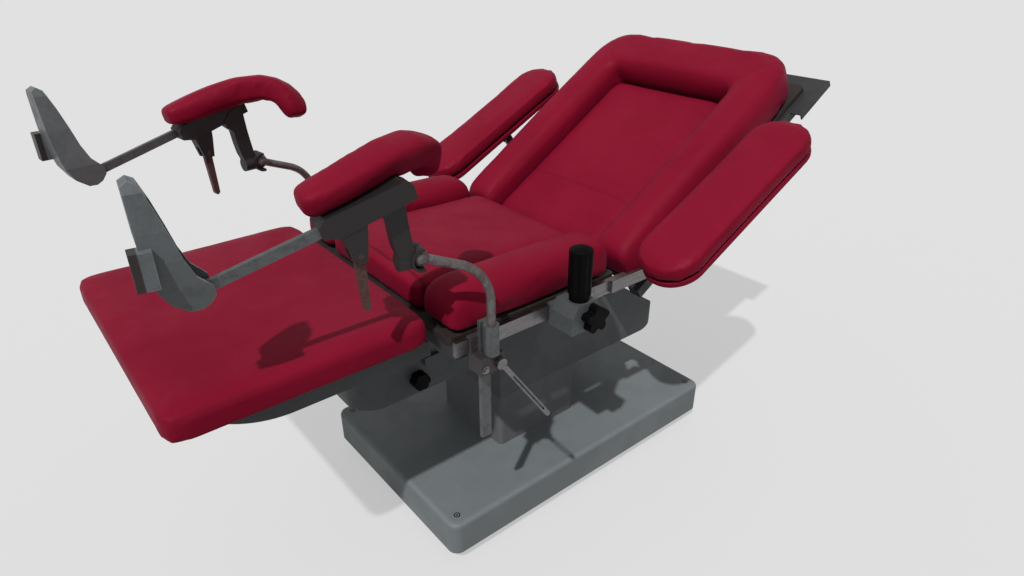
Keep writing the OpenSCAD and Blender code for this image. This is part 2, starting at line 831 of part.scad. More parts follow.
module back_frame() {
    n = [back_board_n - back_frame_h, back_board_n];
    x0 = rail_x - back_tube_w;
    post_y = [arm_pivot_u - arm_post_w / 2, arm_pivot_u + arm_post_w / 2];
    placed("dimgray") back_place() difference() {
        union() {
            both() {
                block([x0, rail_x], [-back_below, head_u - head_flange], n);
                rod_x(knuckle_r, [x0, rail_x - seat_gap], 0, 0);
                block([rail_x - over, arm_post_x + arm_post_t], post_y, n);
                block([arm_post_x, arm_post_x + arm_post_t], post_y, [n[0], arm_pivot_n]);
                rod_x(arm_post_w / 2, [arm_post_x, arm_post_x + arm_post_t], arm_pivot_u, arm_pivot_n);
                rod_x(arm_pin_r, [arm_post_x, arm_post_x + arm_post_t + arm_lug_t + over],
                    arm_pivot_u, arm_pivot_n);
                side_plate([strut_eye_w / 2 + over, strut_eye_w / 2 + over + clevis_t]) union() {
                    translate([back_strut_u - clevis_r, back_strut_n])
                        square([2 * clevis_r, back_board_n - over - back_strut_n]);
                    translate([back_strut_u, back_strut_n]) circle(r = clevis_r, $fn = smooth);
                }
                block([head_plate_w / 2 - head_plate_t, head_plate_w / 2], [head_plate_u, head_u],
                    [back_board_n - head_flange, back_board_n]);
            }
            rod_x(clevis_pin_r, [-strut_eye_w / 2 - over, strut_eye_w / 2 + over], back_strut_u,
                back_strut_n);
            for (u = back_cross_us)
                block([-rail_x, rail_x], [u - back_frame_h / 2, u + back_frame_h / 2], n);
            block([-head_plate_w / 2, head_plate_w / 2], [head_plate_u, head_u],
                [back_board_n - head_plate_t, back_board_n]);
            block([-head_plate_w / 2, head_plate_w / 2], [head_u - head_plate_t, head_u],
                [back_board_n - head_flange, back_board_n]);
        }
        both() rod_x(pin_r + run_gap, [x0 - over, rail_x + over], 0, 0);
    }
}

module back_board() {
    notch = knuckle_r + over;
    placed("burlywood") back_place() difference() {
        slab([board_inset - table_w / 2, table_w / 2 - board_inset],
            [board_inset - back_below, back_head_u - board_inset], [back_board_n, back_deck_n],
            board_inset);
        both() block([rail_x - back_tube_w - over, rail_x], [-notch, notch],
            [back_board_n - over, back_deck_n + over]);
    }
}

module back_pad() {
    w = table_w - 2 * bolster_w - 8 * seat_gap;
    placed("crimson") back_place() difference() {
        cushion(w, [-back_below, back_head_u - bolster_head_l - seat_gap], back_deck_n + seat_gap,
            panel_t, panel_t,
            plan_share, panel_share, 28, 14);
        translate([0, (back_l - bolster_head_l) * back_seam_share - back_below,
            back_deck_n + panel_t + over])
            rotate([0, 90, 0]) cylinder(r = 2 * over, h = w, center = true, $fn = 12);
    }
}

// Rings of the U-shaped bolster: up the right side, round the head, down the left side
bolster_sections = 20;
corner_steps = 8;
back_roll_share = 0.5;
turn_share = 0.3125;
side_place_shares = [0, 0.02, 0.06, 0.14, 0.5];
side_height_shares = [0.62, 0.84, 0.96, 1, 1];
side_taper_share = 0.1;

function bolster_ring(place, out, w, h) = [
    for (p = pad_section(w, back_bolster_t * low_part_share * h, back_bolster_t * (1 - low_part_share) * h,
        flat_share, back_roll_share, bolster_sections))
        [place[0] + out[0] * (w / 2 + p[0]), place[1] + out[1] * (w / 2 + p[0]),
            back_deck_n + seat_gap + back_bolster_t * low_part_share + p[1]]
];

module back_bolster() {
    inner_x = table_w / 2 - bolster_w;
    inner_u = back_head_u - bolster_head_l;
    side_w = bolster_w;
    cx = inner_x - bolster_inner_r;
    cu = inner_u - bolster_inner_r;
    reach = [side_w + bolster_inner_r, bolster_head_l + bolster_inner_r];
    n = len(side_place_shares) - 1;
    side_us = [for (q = side_place_shares) -back_below + q * (cu + back_below)];
    side_ws = [for (h = side_height_shares) side_w * (1 - side_taper_share + side_taper_share * h)];
    function corner(a, s) = let (
        far = pow(pow(cos(a) / reach[0], 1 / turn_share) + pow(sin(a) / reach[1], 1 / turn_share),
            -turn_share),
        out = [s * cos(a), sin(a)])
        bolster_ring([s * cx + out[0] * bolster_inner_r, cu + out[1] * bolster_inner_r], out,
            far - bolster_inner_r, 1);
    placed("crimson") back_place() skin(concat(
        [for (i = [0:n]) bolster_ring([inner_x, side_us[i]], [1, 0], side_ws[i], side_height_shares[i])],
        [for (i = [0:corner_steps]) corner(90 * i / corner_steps, 1)],
        [for (i = [0:corner_steps]) corner(90 - 90 * i / corner_steps, -1)],
        [for (i = [n:-1:0]) bolster_ring([-inner_x, side_us[i]], [-1, 0], side_ws[i],
        side_height_shares[i])]
    ));
}

// Strut that holds the back up
strut_run = [
    hinge_y + back_strut_u * cos(back_rest_deg) - back_strut_n * sin(back_rest_deg) - strut_y,
    hinge_z + back_strut_u * sin(back_rest_deg) + back_strut_n * cos(back_rest_deg) - strut_z
];
strut_len = norm(strut_run);
strut_sag_deg = 0.886;
strut_deg = atan2(strut_run[1], strut_run[0]) - strut_sag_deg;
strut_tube_r = 15;
strut_tube_l = 170;
strut_rod_r = 7;
strut_rod_foot = 65;
strut_eye_wall = 3.5;

module strut_place() {
    translate([0, strut_y, strut_z]) rotate([strut_deg - 90, 0, 0]) children();
}

module strut_cylinder() {
    placed("silver") strut_place() difference() {
        union() {
            rod_x(strut_eye_r - over, [-strut_eye_w / 2, strut_eye_w / 2], 0, 0);
            rod_z(strut_tube_r, 0, 0, [0, strut_tube_l]);
        }
        rod_x(strut_pin_r + run_gap, [-strut_eye_w / 2 - over, strut_eye_w / 2 + over], 0, 0);
        rod_z(strut_rod_r + run_gap, 0, 0, [strut_eye_r + 2 * over, strut_tube_l + over]);
    }
}

module strut_rod() {
    placed("lightgray") strut_place() difference() {
        union() {
            rod_z(strut_rod_r, 0, 0, [strut_rod_foot, strut_len]);
            rod_x(clevis_pin_r + clevis_play + strut_eye_wall, [-strut_eye_w / 2, strut_eye_w / 2], 0,
                strut_len);
        }
        rod_x(clevis_pin_r + clevis_play, [-strut_eye_w, strut_eye_w], 0, strut_len);
    }
}

// Armrests, drawn along the back with the pivot at the origin
module arm_place() {
    back_place() translate([0, arm_pivot_u, arm_pivot_n]) rotate([arm_slope, 0, 0]) children();
}

module arm_outline(inset) {
    r = arm_w / 2 - inset;
    for (s = [-1, 1]) translate([arm_x, s * (arm_l - arm_w) / 2]) circle(r = r, $fn = smooth);
    translate([arm_x - r, -(arm_l - arm_w) / 2]) square([2 * r, arm_l - arm_w]);
}

module armrest_bracket() {
    x0 = arm_post_x + arm_post_t + seat_gap;
    n0 = arm_n - arm_pivot_n - arm_t / 2 - arm_board_t - seat_gap;
    placed("dimgray") arm_place() difference() {
        union() {
            translate([0, 0, n0]) linear_extrude(arm_board_t) arm_outline(arm_board_inset);
            block([x0, x0 + arm_lug_t], [-arm_lug_r, arm_lug_r], [0, n0 + over]);
            rod_x(arm_lug_r, [x0, x0 + arm_lug_t], 0, 0);
        }
        rod_x(arm_pin_r + run_gap, [x0 - over, x0 + arm_lug_t + over], 0, 0);
    }
}

module armrest_pad() {
    n0 = arm_n - arm_pivot_n - arm_t / 2;
    half = (arm_l - arm_w) / 2;
    low = arm_t * low_part_share;
    steps = [for (a = [82:-16:2]) a];
    ends = concat([for (a = steps) [-half - arm_w / 2 * sin(a), cos(a)]], [[-half, 1], [0, 1], [half, 1]],
        [for (i = [len(steps) - 1:-1:0]) [half + arm_w / 2 * sin(steps[i]), cos(steps[i])]]);
    placed("crimson") arm_place() skin([
        for (e = ends) let (h = pow(e[1], crown_share))
            [for (p = pad_section(arm_w * e[1], low * h, (arm_t - low) * h, flat_share, crown_share, 24))
                [arm_x + p[0], e[0], n0 + low + p[1]]]
    ]);
}

// Leg section
module tray_side(inset) {
    floor_z = deck_z - tray_h;
    foot = tray_head_y - tray_l;
    curl_r = (tray_curl * tray_curl + tray_h * tray_h) / (2 * tray_h);
    translate([foot + tray_curl, floor_z + inset]) square([tray_l - tray_curl - inset, tray_h + over]);
    intersection() {
        translate([foot + tray_curl, floor_z + curl_r]) circle(r = curl_r - inset, $fn = 4 * smooth);
        translate([foot + inset, floor_z]) square([tray_curl + over, tray_h + over]);
    }
}

module leg_tray() {
    placed("gray") {
        difference() {
            intersection() {
                side_plate([-tray_w / 2, tray_w / 2]) tray_side(0);
                block([-tray_w, tray_w], [leg_foot_y, 0], [0, deck_z]);
            }
            side_plate([tray_wall - tray_w / 2, tray_w / 2 - tray_wall]) tray_side(tray_wall);
        }
        both() {
            block([slide_x - slide_w / 2, slide_x + slide_w / 2], [tray_post_y, slide_head_y],
                [slide_z - slide_w / 2, slide_z + slide_w / 2]);
            block([slide_x - slide_w / 2, slide_x + slide_w / 2], [tray_post_y, tray_post_y + tray_post_l],
                [slide_z, deck_z - tray_h + tray_wall]);
        }
    }
}

module leg_pad() {
    placed("crimson") cushion(table_w, [leg_foot_y, leg_head_y], deck_z + seat_gap, leg_t, leg_t,
        plan_share, leg_share, 28, 16);
}

// Black knob on the casing's right side, with its shaft and inner cam
module leg_lock_knob() {
    x0 = casing_w / 2 + seat_gap;
    wall_x = casing_w / 2 - casing_wall;
    placed("black") {
        rod_x(knob_shaft_r, [wall_x - slide_w / 2, x0 + over], knob_y, knob_z);
        rod_x(2 * knob_shaft_r, [wall_x - slide_w / 2, wall_x - over], knob_y, knob_z);
        difference() {
            rod_x(knob_r, [x0, x0 + knob_h], knob_y, knob_z);
            translate([0, knob_y, knob_z]) for (a = [0:60:300]) rotate([a, 0, 0])
                rod_x(knob_r / 4, [x0 - over, x0 + knob_h + over], 0, knob_r + knob_r / 8);
        }
    }
}

// Leg supports, right side
// Back plate with hooks over and under the rail, between two places along it
module rail_hook(y, z_low) {
    x0 = rail_x + rail_t + seat_gap;
    block([x0, bar_x - seat_gap], y, [z_low, rail_top + hook_t]);
    block([rail_x + rail_t - hook_in, x0 + over], y, [rail_top + seat_gap, rail_top + hook_t]);
    block([rail_x + rail_t - hook_in, x0 + over], y,
        [rail_top - rail_h - hook_t, rail_top - rail_h - seat_gap]);
}

module rail_clamp() {
    y = [clamp_y - clamp_w / 2, clamp_y + clamp_w / 2];
    slot = bar_w / 2 + run_gap;
    placed("dimgray") difference() {
        union() {
            rail_hook(y, clamp_z);
            block([bar_x - seat_gap - over, clamp_jaw_x], y, [clamp_z, clamp_z + clamp_jaw_h]);
        }
        block([bar_x - run_gap, bar_x + bar_t + run_gap], [clamp_y - slot, clamp_y + slot],
            [clamp_z - over, clamp_z + clamp_jaw_h + over]);
        rod_x(lever_screw_r + run_gap, [bar_x + bar_t - over, clamp_jaw_x + over], lever_y, lever_z);
    }
}

// Slotted handle, cranked outward along its length
module clamp_lever() {
    x0 = clamp_jaw_x + seat_gap;
    lean = atan2(lever_out, lever_l);
    placed("silver") {
        rod_x(lever_screw_r, [bar_x + bar_t + seat_gap, x0 + over], lever_y, lever_z);
        rod_x(lever_hub_r, [x0, x0 + 2 * lever_t], lever_y, lever_z);
        translate([x0 + lever_t, lever_y, lever_z]) rotate([lever_drop_deg, 0, 0]) rotate([0, 0, -lean])
            difference() {
                translate([-lever_t / 2, 0, 0]) side_plate([0, lever_t]) union() {
                    translate([0, -lever_w / 2]) square([lever_l, lever_w]);
                    translate([lever_l, 0]) circle(r = lever_w / 2, $fn = smooth);
                }
                translate([-lever_t, lever_l / 4, -lever_slot_w / 2])
                    cube([2 * lever_t, lever_l * 2 / 3, lever_slot_w]);
            }
    }
}

module height_bar() {
    placed("silver") difference() {
        union() {
            block([bar_x, bar_x + bar_t], [clamp_y - bar_w / 2, clamp_y + bar_w / 2],
                [bar_top - height_bar_l, bar_top]);
            block([bar_x + bar_t - over, sleeve_x], [clamp_y - bar_w / 4, clamp_y + bar_w / 4],
                [sleeve_z, bar_top]);
            rod_z(sleeve_r, sleeve_x, clamp_y, [sleeve_z, bar_top]);
        }
        rod_z(rod_d / 2 + run_gap, sleeve_x, clamp_y, [sleeve_z + sleeve_floor, bar_top + over]);
    }
}

// Bent rod from the sleeve up and over to the ball
module support_rod() {
    turn = 90 - rod_rise;
    run = norm([ball_x - sleeve_x, ball_y - clamp_y]);
    last = (run - rod_bend_r * (1 - cos(turn))) / sin(turn);
    bend_z = ball_z - rod_bend_r * sin(turn) - last * cos(turn);
    heading = atan2(ball_x - sleeve_x, clamp_y - ball_y);
    placed("silver") translate([sleeve_x, clamp_y, 0]) rotate([0, 0, heading]) {
        rod_z(rod_d / 2, 0, 0, [sleeve_z + sleeve_floor + seat_gap, bend_z + over]);
        translate([0, -rod_bend_r, bend_z]) {
            rotate([90, 0, 90]) rotate_extrude(angle = turn, $fn = 2 * smooth) translate([rod_bend_r, 0])
                circle(r = rod_d / 2 - run_gap / 2, $fn = smooth);
            rotate([turn, 0, 0]) translate([0, rod_bend_r, -over])
                cylinder(r = rod_d / 2, h = last + over, $fn = smooth);
        }
        translate([0, -run, ball_z]) sphere(r = ball_d / 2, $fn = smooth);
    }
}

// Everything beyond the ball is drawn with the ball at the origin
module ball_place() {
    translate([ball_x, ball_y, ball_z]) rotate([0, 0, -toe_in]) children();
}

module bar_line_place() {
    translate([bar_line_x, 0, bar_line_z]) rotate([bar_drop_deg, 0, 0]) children();
}

function bezier(p, t) = (1 - t) ^ 3 * p[0] + 3 * t * (1 - t) ^ 2 * p[1]
    + 3 * t ^ 2 * (1 - t) * p[2] + t ^ 3 * p[3];
function unit(v) = v / norm(v);

// Knee pad along its curved path
module crutch_form() {
    m = 16;
    skin([
        for (b = swings(m, end_deg - 5))
            let (t = 0.5 + 0.5 * spow(sin(b), crown_share * 2), p = bezier(pad_path, t),
                 along = unit(bezier(pad_path, t + 0.01) - bezier(pad_path, t - 0.01)),
                 level = unit(cross(along, [0, 0, 1])), rise = cross(level, along),
                 out = level * cos(pad_roll) - rise * sin(pad_roll),
                 up = rise * cos(pad_roll) + level * sin(pad_roll),
                 h = pow(cos(b), crown_share))
            [for (q = pad_section(crutch_w * h, crutch_t / 2 * h, crutch_t / 2 * h, crown_share,
            roll_share, 20))
                p + out * q[0] + up * q[1]]
    ]);
}

// Sloped body of the bracket; the pad's underside is let onto it
module crutch_body(grow) {
    bar_line_place() side_plate([body_x[0] - bar_line_x - grow, body_x[1] - bar_line_x + grow])
        offset(delta = grow) polygon(body_points);
}

module crutch_pad() {
    placed("crimson") ball_place() difference() {
        crutch_form();
        crutch_body(seat_gap);
    }
}

module crutch_bracket() {
    slot = [foot_bar_t / 2 + run_gap, foot_bar_w / 2 + run_gap];
    mid = (boss_side[0] + boss_side[1]) / 2;
    placed("dimgray") ball_place() difference() {
        union() {
            bar_line_place() side_plate([body_x[0] - bar_line_x, body_x[1] - bar_line_x])
                polygon(body_points);
            side_plate(arm_side) polygon(arm_points);
            side_plate(boss_side) polygon(boss_points);
            side_plate([-socket_side, socket_side]) intersection() {
                circle(r = socket_r, $fn = smooth);
                translate([-socket_r, -socket_r]) square([socket_r + socket_cut, 2 * socket_r]);
            }
            rotate([90, 0, 0]) cylinder(r = barrel_r, h = barrel_l, $fn = smooth);
        }
        rod_x(ball_d / 2 + run_gap, [-socket_r, socket_r], 0, 0);
        bar_line_place() block([-slot[0], slot[0]],
            [foot_bar_head - foot_bar_l, foot_bar_head + foot_bar_travel],
            [-slot[1], slot[1]]);
        block([mid - fork_gap / 2, mid + fork_gap / 2], [pad_lever_y - socket_r, pad_lever_y + socket_r],
            [0, fork_top]);
        rod_x(pad_lever_pin_r + run_gap, [boss_side[0] - over, boss_side[1] + over], pad_lever_y,
            pad_lever_z);
    }
}

module pad_lever() {
    mid = (boss_side[0] + boss_side[1]) / 2;
    r = pad_lever_w / 2;
    placed("brown") ball_place() translate([0, pad_lever_y, pad_lever_z]) rotate([pad_lever_deg, 0, 0]) {
        side_plate([mid - pad_lever_t / 2, mid + pad_lever_t / 2]) union() {
            circle(r = r, $fn = smooth);
            polygon([[-r, 0], [r, 0], [r * 2 / 3, -pad_lever_l], [0, -pad_lever_l - r / 2],
                [-r * 2 / 3, -pad_lever_l]]);
        }
        rod_x(pad_lever_pin_r, boss_side, 0, 0);
    }
}

module foot_bar() {
    placed("silver") ball_place() bar_line_place() difference() {
        union() {
            block([-foot_bar_t / 2, foot_bar_t / 2], [foot_bar_head - foot_bar_l, foot_bar_head],
                [-foot_bar_w / 2, foot_bar_w / 2]);
            rod_x(foot_eye_r, [-foot_bar_t / 2, foot_bar_t / 2], foot_bar_head - foot_bar_l, 0);
        }
        rod_x(foot_pin_r + run_gap, [-foot_bar_t, foot_bar_t], foot_bar_head - foot_bar_l, 0);
    }
}

// Prism of a side outline held within a front outline
module shell(side, front) {
    intersection() {
        side_plate([shell_from, shell_to]) polygon(side);
        translate([0, shell_to, 0]) rotate([90, 0, 0]) linear_extrude(shell_to - shell_from) polygon(front);
    }
}

// Foot plate with its pivot at the origin
module foot_plate() {
    lug_x = foot_bar_t / 2 + seat_gap;
    placed("slategray") ball_place() bar_line_place() translate([0, foot_bar_head - foot_bar_l, 0])
        rotate([-bar_drop_deg, 0, 0]) {
            difference() {
                union() {
                    shell(shell_side, shell_front);
                    block([stop_in, stop_out], [-stop_back, -stop_front], [stop_low, stop_high]);
                }
                shell(hollow_side, hollow_front);
            }
            both() side_plate([lug_x, lug_x + lug_t]) union() {
                circle(r = foot_eye_r, $fn = smooth);
                polygon(lug_points);
            }
            rod_x(foot_pin_r, [-lug_x - lug_t, lug_x + lug_t], 0, 0);
        }
}

// Hand grips, right side
module grip_clamp() {
    y = [grip_y - grip_block_w / 2, grip_y + grip_block_w / 2];
    placed("gray") difference() {
        union() {
            rail_hook(y, grip_block_z);
            side_plate([bar_x - seat_gap - over, grip_block_x]) polygon([
                [y[0], grip_block_z], [y[1], grip_block_z],
                [y[1], grip_block_top - grip_block_slope], [y[1] - grip_block_in, grip_block_top],
                [y[0] + grip_block_in, grip_block_top], [y[0], grip_block_top - grip_block_slope]]);
            rod_z(grip_stem_r, grip_x, grip_y, [grip_block_top - over, grip_block_top + grip_h - grip_cap]);
        }
        rod_x(knob_shaft_r + run_gap, [grip_x, grip_block_x + over], grip_knob_y, grip_knob_z);
    }
}

// Upright grip with a domed top and a narrow foot, on the clamp's stem
module hand_grip() {
    z0 = grip_block_top + seat_gap;
    r = grip_d / 2;
    placed("black") difference() {
        union() {
            rod_z(r - grip_waist, grip_x, grip_y, [z0, z0 + grip_foot_h + over]);
            rod_z(r, grip_x, grip_y, [z0 + grip_foot_h, z0 + grip_h - grip_dome]);
            intersection() {
                rod_z(r, grip_x, grip_y, [z0 + grip_h / 2, z0 + grip_h]);
                translate([grip_x, grip_y, z0 + grip_h - dome_r]) sphere(r = dome_r, $fn = 2 * smooth);
            }
        }
        rod_z(grip_stem_r + run_gap, grip_x, grip_y, [z0 - over, z0 + grip_h - grip_cap]);
        for (a = [0:60:300]) translate([grip_x, grip_y, 0]) rotate([0, 0, a])
            rod_z(grip_flute_r, r + grip_flute_r - grip_flute_d, 0,
                [z0 + grip_foot_h - over, z0 + grip_h - grip_dome]);
    }
}

module grip_knob() {
    x0 = grip_block_x + seat_gap;
    placed("black") {
        rod_x(knob_shaft_r, [grip_x + seat_gap, x0 + over], grip_knob_y, grip_knob_z);
        rod_x(lobe_circle, [x0, x0 + grip_knob_t], grip_knob_y, grip_knob_z);
        translate([0, grip_knob_y, grip_knob_z]) for (a = [0:72:288]) rotate([a, 0, 0])
            rod_x(lobe_r, [x0, x0 + grip_knob_t], 0, lobe_circle);
    }
}

base_cover();
base_frame();
column_cover();
base_post();
lift_cylinder();
castor_fork(-1, -1);  // castor_fork_foot_left
castor_fork(1, -1);  // castor_fork_foot_right
castor_fork(-1, 1);  // castor_fork_head_left
castor_fork(1, 1);  // castor_fork_head_right
castor_wheel(-1, -1);  // castor_wheel_foot_left
castor_wheel(1, -1);  // castor_wheel_foot_right
castor_wheel(-1, 1);  // castor_wheel_head_left
castor_wheel(1, 1);  // castor_wheel_head_right
casing();
mast();
carrier();
seat_frame();
seat_board();
seat_pad();
left() seat_bolster();  // seat_bolster_left
seat_bolster();  // seat_bolster_right
left() side_rail();  // side_rail_left
side_rail();  // side_rail_right
back_frame();
back_board();
back_pad();
back_bolster();
strut_cylinder();
strut_rod();
left() armrest_bracket();  // armrest_bracket_left
armrest_bracket();  // armrest_bracket_right
left() armrest_pad();  // armrest_pad_left
armrest_pad();  // armrest_pad_right
leg_tray();
leg_pad();
leg_lock_knob();
left() rail_clamp();  // rail_clamp_left
rail_clamp();  // rail_clamp_right
left() clamp_lever();  // clamp_lever_left
clamp_lever();  // clamp_lever_right
left() height_bar();  // height_bar_left
height_bar();  // height_bar_right
left() support_rod();  // support_rod_left
support_rod();  // support_rod_right
left() crutch_bracket();  // crutch_bracket_left
crutch_bracket();  // crutch_bracket_right
left() crutch_pad();  // crutch_pad_left
crutch_pad();  // crutch_pad_right
left() pad_lever();  // pad_lever_left
pad_lever();  // pad_lever_right
left() foot_bar();  // foot_bar_left
foot_bar();  // foot_bar_right
left() foot_plate();  // foot_plate_left
foot_plate();  // foot_plate_right
left() grip_clamp();  // grip_clamp_left
grip_clamp();  // grip_clamp_right
left() hand_grip();  // hand_grip_left
hand_grip();  // hand_grip_right
left() grip_knob();  // grip_knob_left
grip_knob();  // grip_knob_right
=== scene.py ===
"""Looks of a gynaecological examination table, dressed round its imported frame."""

import json
import math

import bmesh
import bpy
from bpy.props import FloatProperty, FloatVectorProperty, PointerProperty
from mathutils import Matrix, Vector
from mathutils.geometry import convex_hull_2d


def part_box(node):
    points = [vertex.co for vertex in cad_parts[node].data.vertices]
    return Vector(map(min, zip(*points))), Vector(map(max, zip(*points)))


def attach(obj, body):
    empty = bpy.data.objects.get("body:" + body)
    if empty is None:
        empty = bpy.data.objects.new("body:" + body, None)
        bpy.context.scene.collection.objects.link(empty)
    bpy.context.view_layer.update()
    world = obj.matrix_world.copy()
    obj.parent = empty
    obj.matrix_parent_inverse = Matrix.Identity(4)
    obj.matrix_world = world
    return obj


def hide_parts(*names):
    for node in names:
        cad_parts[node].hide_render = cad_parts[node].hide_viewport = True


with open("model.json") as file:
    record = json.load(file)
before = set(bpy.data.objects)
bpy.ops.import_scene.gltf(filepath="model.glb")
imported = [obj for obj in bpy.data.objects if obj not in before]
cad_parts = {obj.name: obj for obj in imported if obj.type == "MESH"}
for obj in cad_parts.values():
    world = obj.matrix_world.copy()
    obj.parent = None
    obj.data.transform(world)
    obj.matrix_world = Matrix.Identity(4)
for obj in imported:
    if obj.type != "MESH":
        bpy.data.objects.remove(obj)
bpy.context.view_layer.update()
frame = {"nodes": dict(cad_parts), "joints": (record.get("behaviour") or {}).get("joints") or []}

bl_info = {
    "name": "Examination Table",
    "version": (1, 0, 0),
    "blender": (4, 5, 0),
    "location": "3D View > Sidebar > Table",
    "description": "Upholstery, paint and fittings of an examination table",
    "category": "Object",
}

JOINTS = {joint["name"]: joint for joint in frame["joints"]}
SIDES = (("left", -1), ("right", 1))

# Angle of the back at rest, and places on it in its own lying frame, hinge at the origin

BACK_REST = math.radians(32)
BACK_CUSHION_BASE = 0.0133
BACK_SEAM = 0.0598
BACK_CORNER_X = 0.187
BACK_CORNER_Y = 0.435
BACK_MITRE = (0.5817, 0.8134)

# Angle of an armrest at rest, and places on it in its own lying frame, bolt at the origin

ARMREST_REST = BACK_REST - math.radians(5)
ARMREST_BOARD_LOW = 0.0117
ARMREST_BOARD_HIGH = 0.0227
ARMREST_CUSHION_BASE = 0.023
ARMREST_BAND = ARMREST_CUSHION_BASE + 0.030

# Places on the seat, the leg section and the foot plates, and places and sizes of the fasteners

SEAT_ROLL = 0.028
SEAT_SEAM_FOOT = 0.02
LEG_BAND = 0.011
ANKLE = JOINTS["foot_plate_tilt_right"]["pos_m"]
FOOT_TOE_IN = math.radians(7.35)
FOOT_BLOCK_START = 0.066
FOOT_BLOCK_BLUR = 0.0006
BASE_SCREW_INSET = 0.030
SCREW_SINK = 0.0006
HINGE_NUT_SINK = 0.0028
HINGE_NUT_ACROSS = 0.019
HINGE_NUT_HEIGHT = 0.008
CLAMP_BOLT_INSET = 0.009
CLAMP_BOLT_LEVEL = 0.012
CLAMP_BOLT_ACROSS = 0.010
CLAMP_BOLT_HEIGHT = 0.0055

# Making of the cushions; coarse and fine are shares of the mesh size

COARSE = 1.25
FINE = 0.75
PADDING_FRAMES = 20
KNEE_SWELL = 0.009
KNEE_CROWN = 0.007
CROWN_ON_SIDES = 0.6
WELD = 1e-5
FAINT_SEAM = 0.01
NO_SEAM = 1.0

# The view and the light, solved from the photograph's edges and shadows, and the floor's half width

EYE = Vector((1.179, -0.9027, 1.263))
EYE_TURN = math.radians(50.61)
EYE_TIP = math.radians(27.70)
SENSOR_WIDTH = 36.0
SUN_DIRECTION = Vector((-0.330, 0.525, -0.785))
SUN_ANGLE = math.radians(1.2)
FLOOR_REACH = 40.0


def srgb(red, green, blue):
    """Scene-linear colour of a shade read off a screen, 0 to 255."""

    def channel(value):
        value /= 255
        return value / 12.92 if value <= 0.04045 else ((value + 0.055) / 1.055) ** 2.4

    return (channel(red), channel(green), channel(blue), 1.0)


def shade(name, red, green, blue, note):
    """A colour setting, given as it shows on a screen."""
    return FloatVectorProperty(
        name=name, description=note, default=srgb(red, green, blue), size=4, min=0, max=1, subtype="COLOR",
    )


# Settings that a user would change


class UpholsterySettings(bpy.types.PropertyGroup):
    colour: shade("Leatherette", 133, 15, 43, "Colour of the leatherette in full light")
    # Darker colour of the random mottle, and at four tenths of it the painted shade in the seams
    mottle_and_seam_shade: shade("Leatherette mottle", 103, 6, 28, "Darker colour of its mottle and seams")
    sheen: shade("Sheen", 205, 90, 190, "Tint of the faint sheen at grazing angles")
    voxel: FloatProperty(
        name="Mesh size", description="Mesh size of a cushion before subdivision",
        default=0.0062, unit="LENGTH",
    )
    swell: FloatProperty(
        name="Swell", description="Most that the padding pushes the cover out",
        default=0.005, unit="LENGTH",
    )
    pressure: FloatProperty(
        name="Padding pressure", description="Pressure of the padding under the cover", default=4.0,
    )
    seam_depth: FloatProperty(
        name="Seam depth", description="Depth of a sewn crease", default=0.0026, unit="LENGTH",
    )
    seam_width: FloatProperty(
        name="Seam width", description="Half width of a sewn crease", default=0.0034, unit="LENGTH",
    )
    grain: FloatProperty(
        name="Grain", description="Size of the leatherette's grain", default=0.0024, unit="LENGTH",
    )


class PaintSettings(bpy.types.PropertyGroup):
    cover: shade("Base", 121, 127, 129, "Paint of the base cover")
    casing: shade("Casing", 86, 88, 90, "Paint of the casing, and of the leg tray a shade darker")
    column: shade("Column", 104, 105, 107, "Paint of the fixed column cover")
    dark: shade("Frames", 50, 50, 52, "Paint of the welded frames")
    # The boards' dark colour is painted shade for the shadow under the cushions
    board: shade("Boards", 46, 40, 38, "Stained boards under the cushions")
    casting: shade("Grip clamps", 86, 90, 92, "Paint of the cast clamps of the hand grips")
    clamp: shade("Rail clamps", 66, 62, 64, "Castings that hold the leg supports on the rails")
    bracket: shade("Brackets", 34, 31, 33, "Dark castings of knee pads and armrests, and base screws")
    steel: shade("Steel", 132, 130, 130, "Bare steel of rails, clamp levers, forks, bolts and column tubes")
    rod: shade("Support rods", 122, 116, 116, "Bare steel of the bent rods")
    bar: shade("Bars", 98, 101, 102, "Grey steel of the height bars and foot bars")
    bar_grime: shade("Bar grime", 64, 64, 66, "Grime on the height bars and foot bars")
    tube: shade("Polished tubes", 168, 168, 168, "Tube of the actuator and rod of the strut")
    lever: shade("Pad levers", 84, 64, 62, "Levers that hang below the knee pads")
    lever_stain: shade("Lever stain", 84, 30, 30, "Stain on the hanging levers")
    stain: shade("Stain", 78, 56, 54, "Brown stain that has crept over the metal")
    plate: shade("Foot plates", 104, 108, 110, "Moulded foot plates")
    block: shade("Foot plate blocks", 46, 38, 38, "Dark blocks behind the foot plates")
    black: shade("Black plastic", 6, 5, 6, "Grips and knobs")
    tyre: shade("Tyres", 24, 23, 24, "Wheels of the castors")
    dust: shade("Dust", 150, 151, 150, "Dust that has settled on the paint")


class StageSettings(bpy.types.PropertyGroup):
    floor: shade("Floor", 227, 227, 227, "Colour of the floor and the backdrop")
    sun: FloatProperty(name="Key light", description="Strength of the key light", default=2.35)
    sky: FloatProperty(
        name="Fill light", description="Strength of the even light from all round", default=0.36,
    )
    backdrop: FloatProperty(
        name="Backdrop", description="Strength of the backdrop where it is seen", default=0.95,
    )
    shadow: FloatProperty(
        name="Shadow", description="How much of the floor's brightness takes shadow", default=0.38,
    )
    bounce: FloatProperty(
        name="Floor bounce", description="Light that the floor gives back, as a share", default=0.22,
    )
    lens: FloatProperty(
        name="Lens", description="Focal length in millimetres on a 36 mm wide sensor", default=24.44,
    )


# Node building


def plug(tree, entry, value):
    """Links an input to a socket, or sets it to a value."""
    if isinstance(value, bpy.types.NodeSocket):
        tree.links.new(value, entry)
    else:
        entry.default_value = value


def feed(tree, node, sockets):
    """Sets or links the inputs of a node by name or number."""
    for name, value in sockets.items():
        plug(tree, node.inputs[name], value)


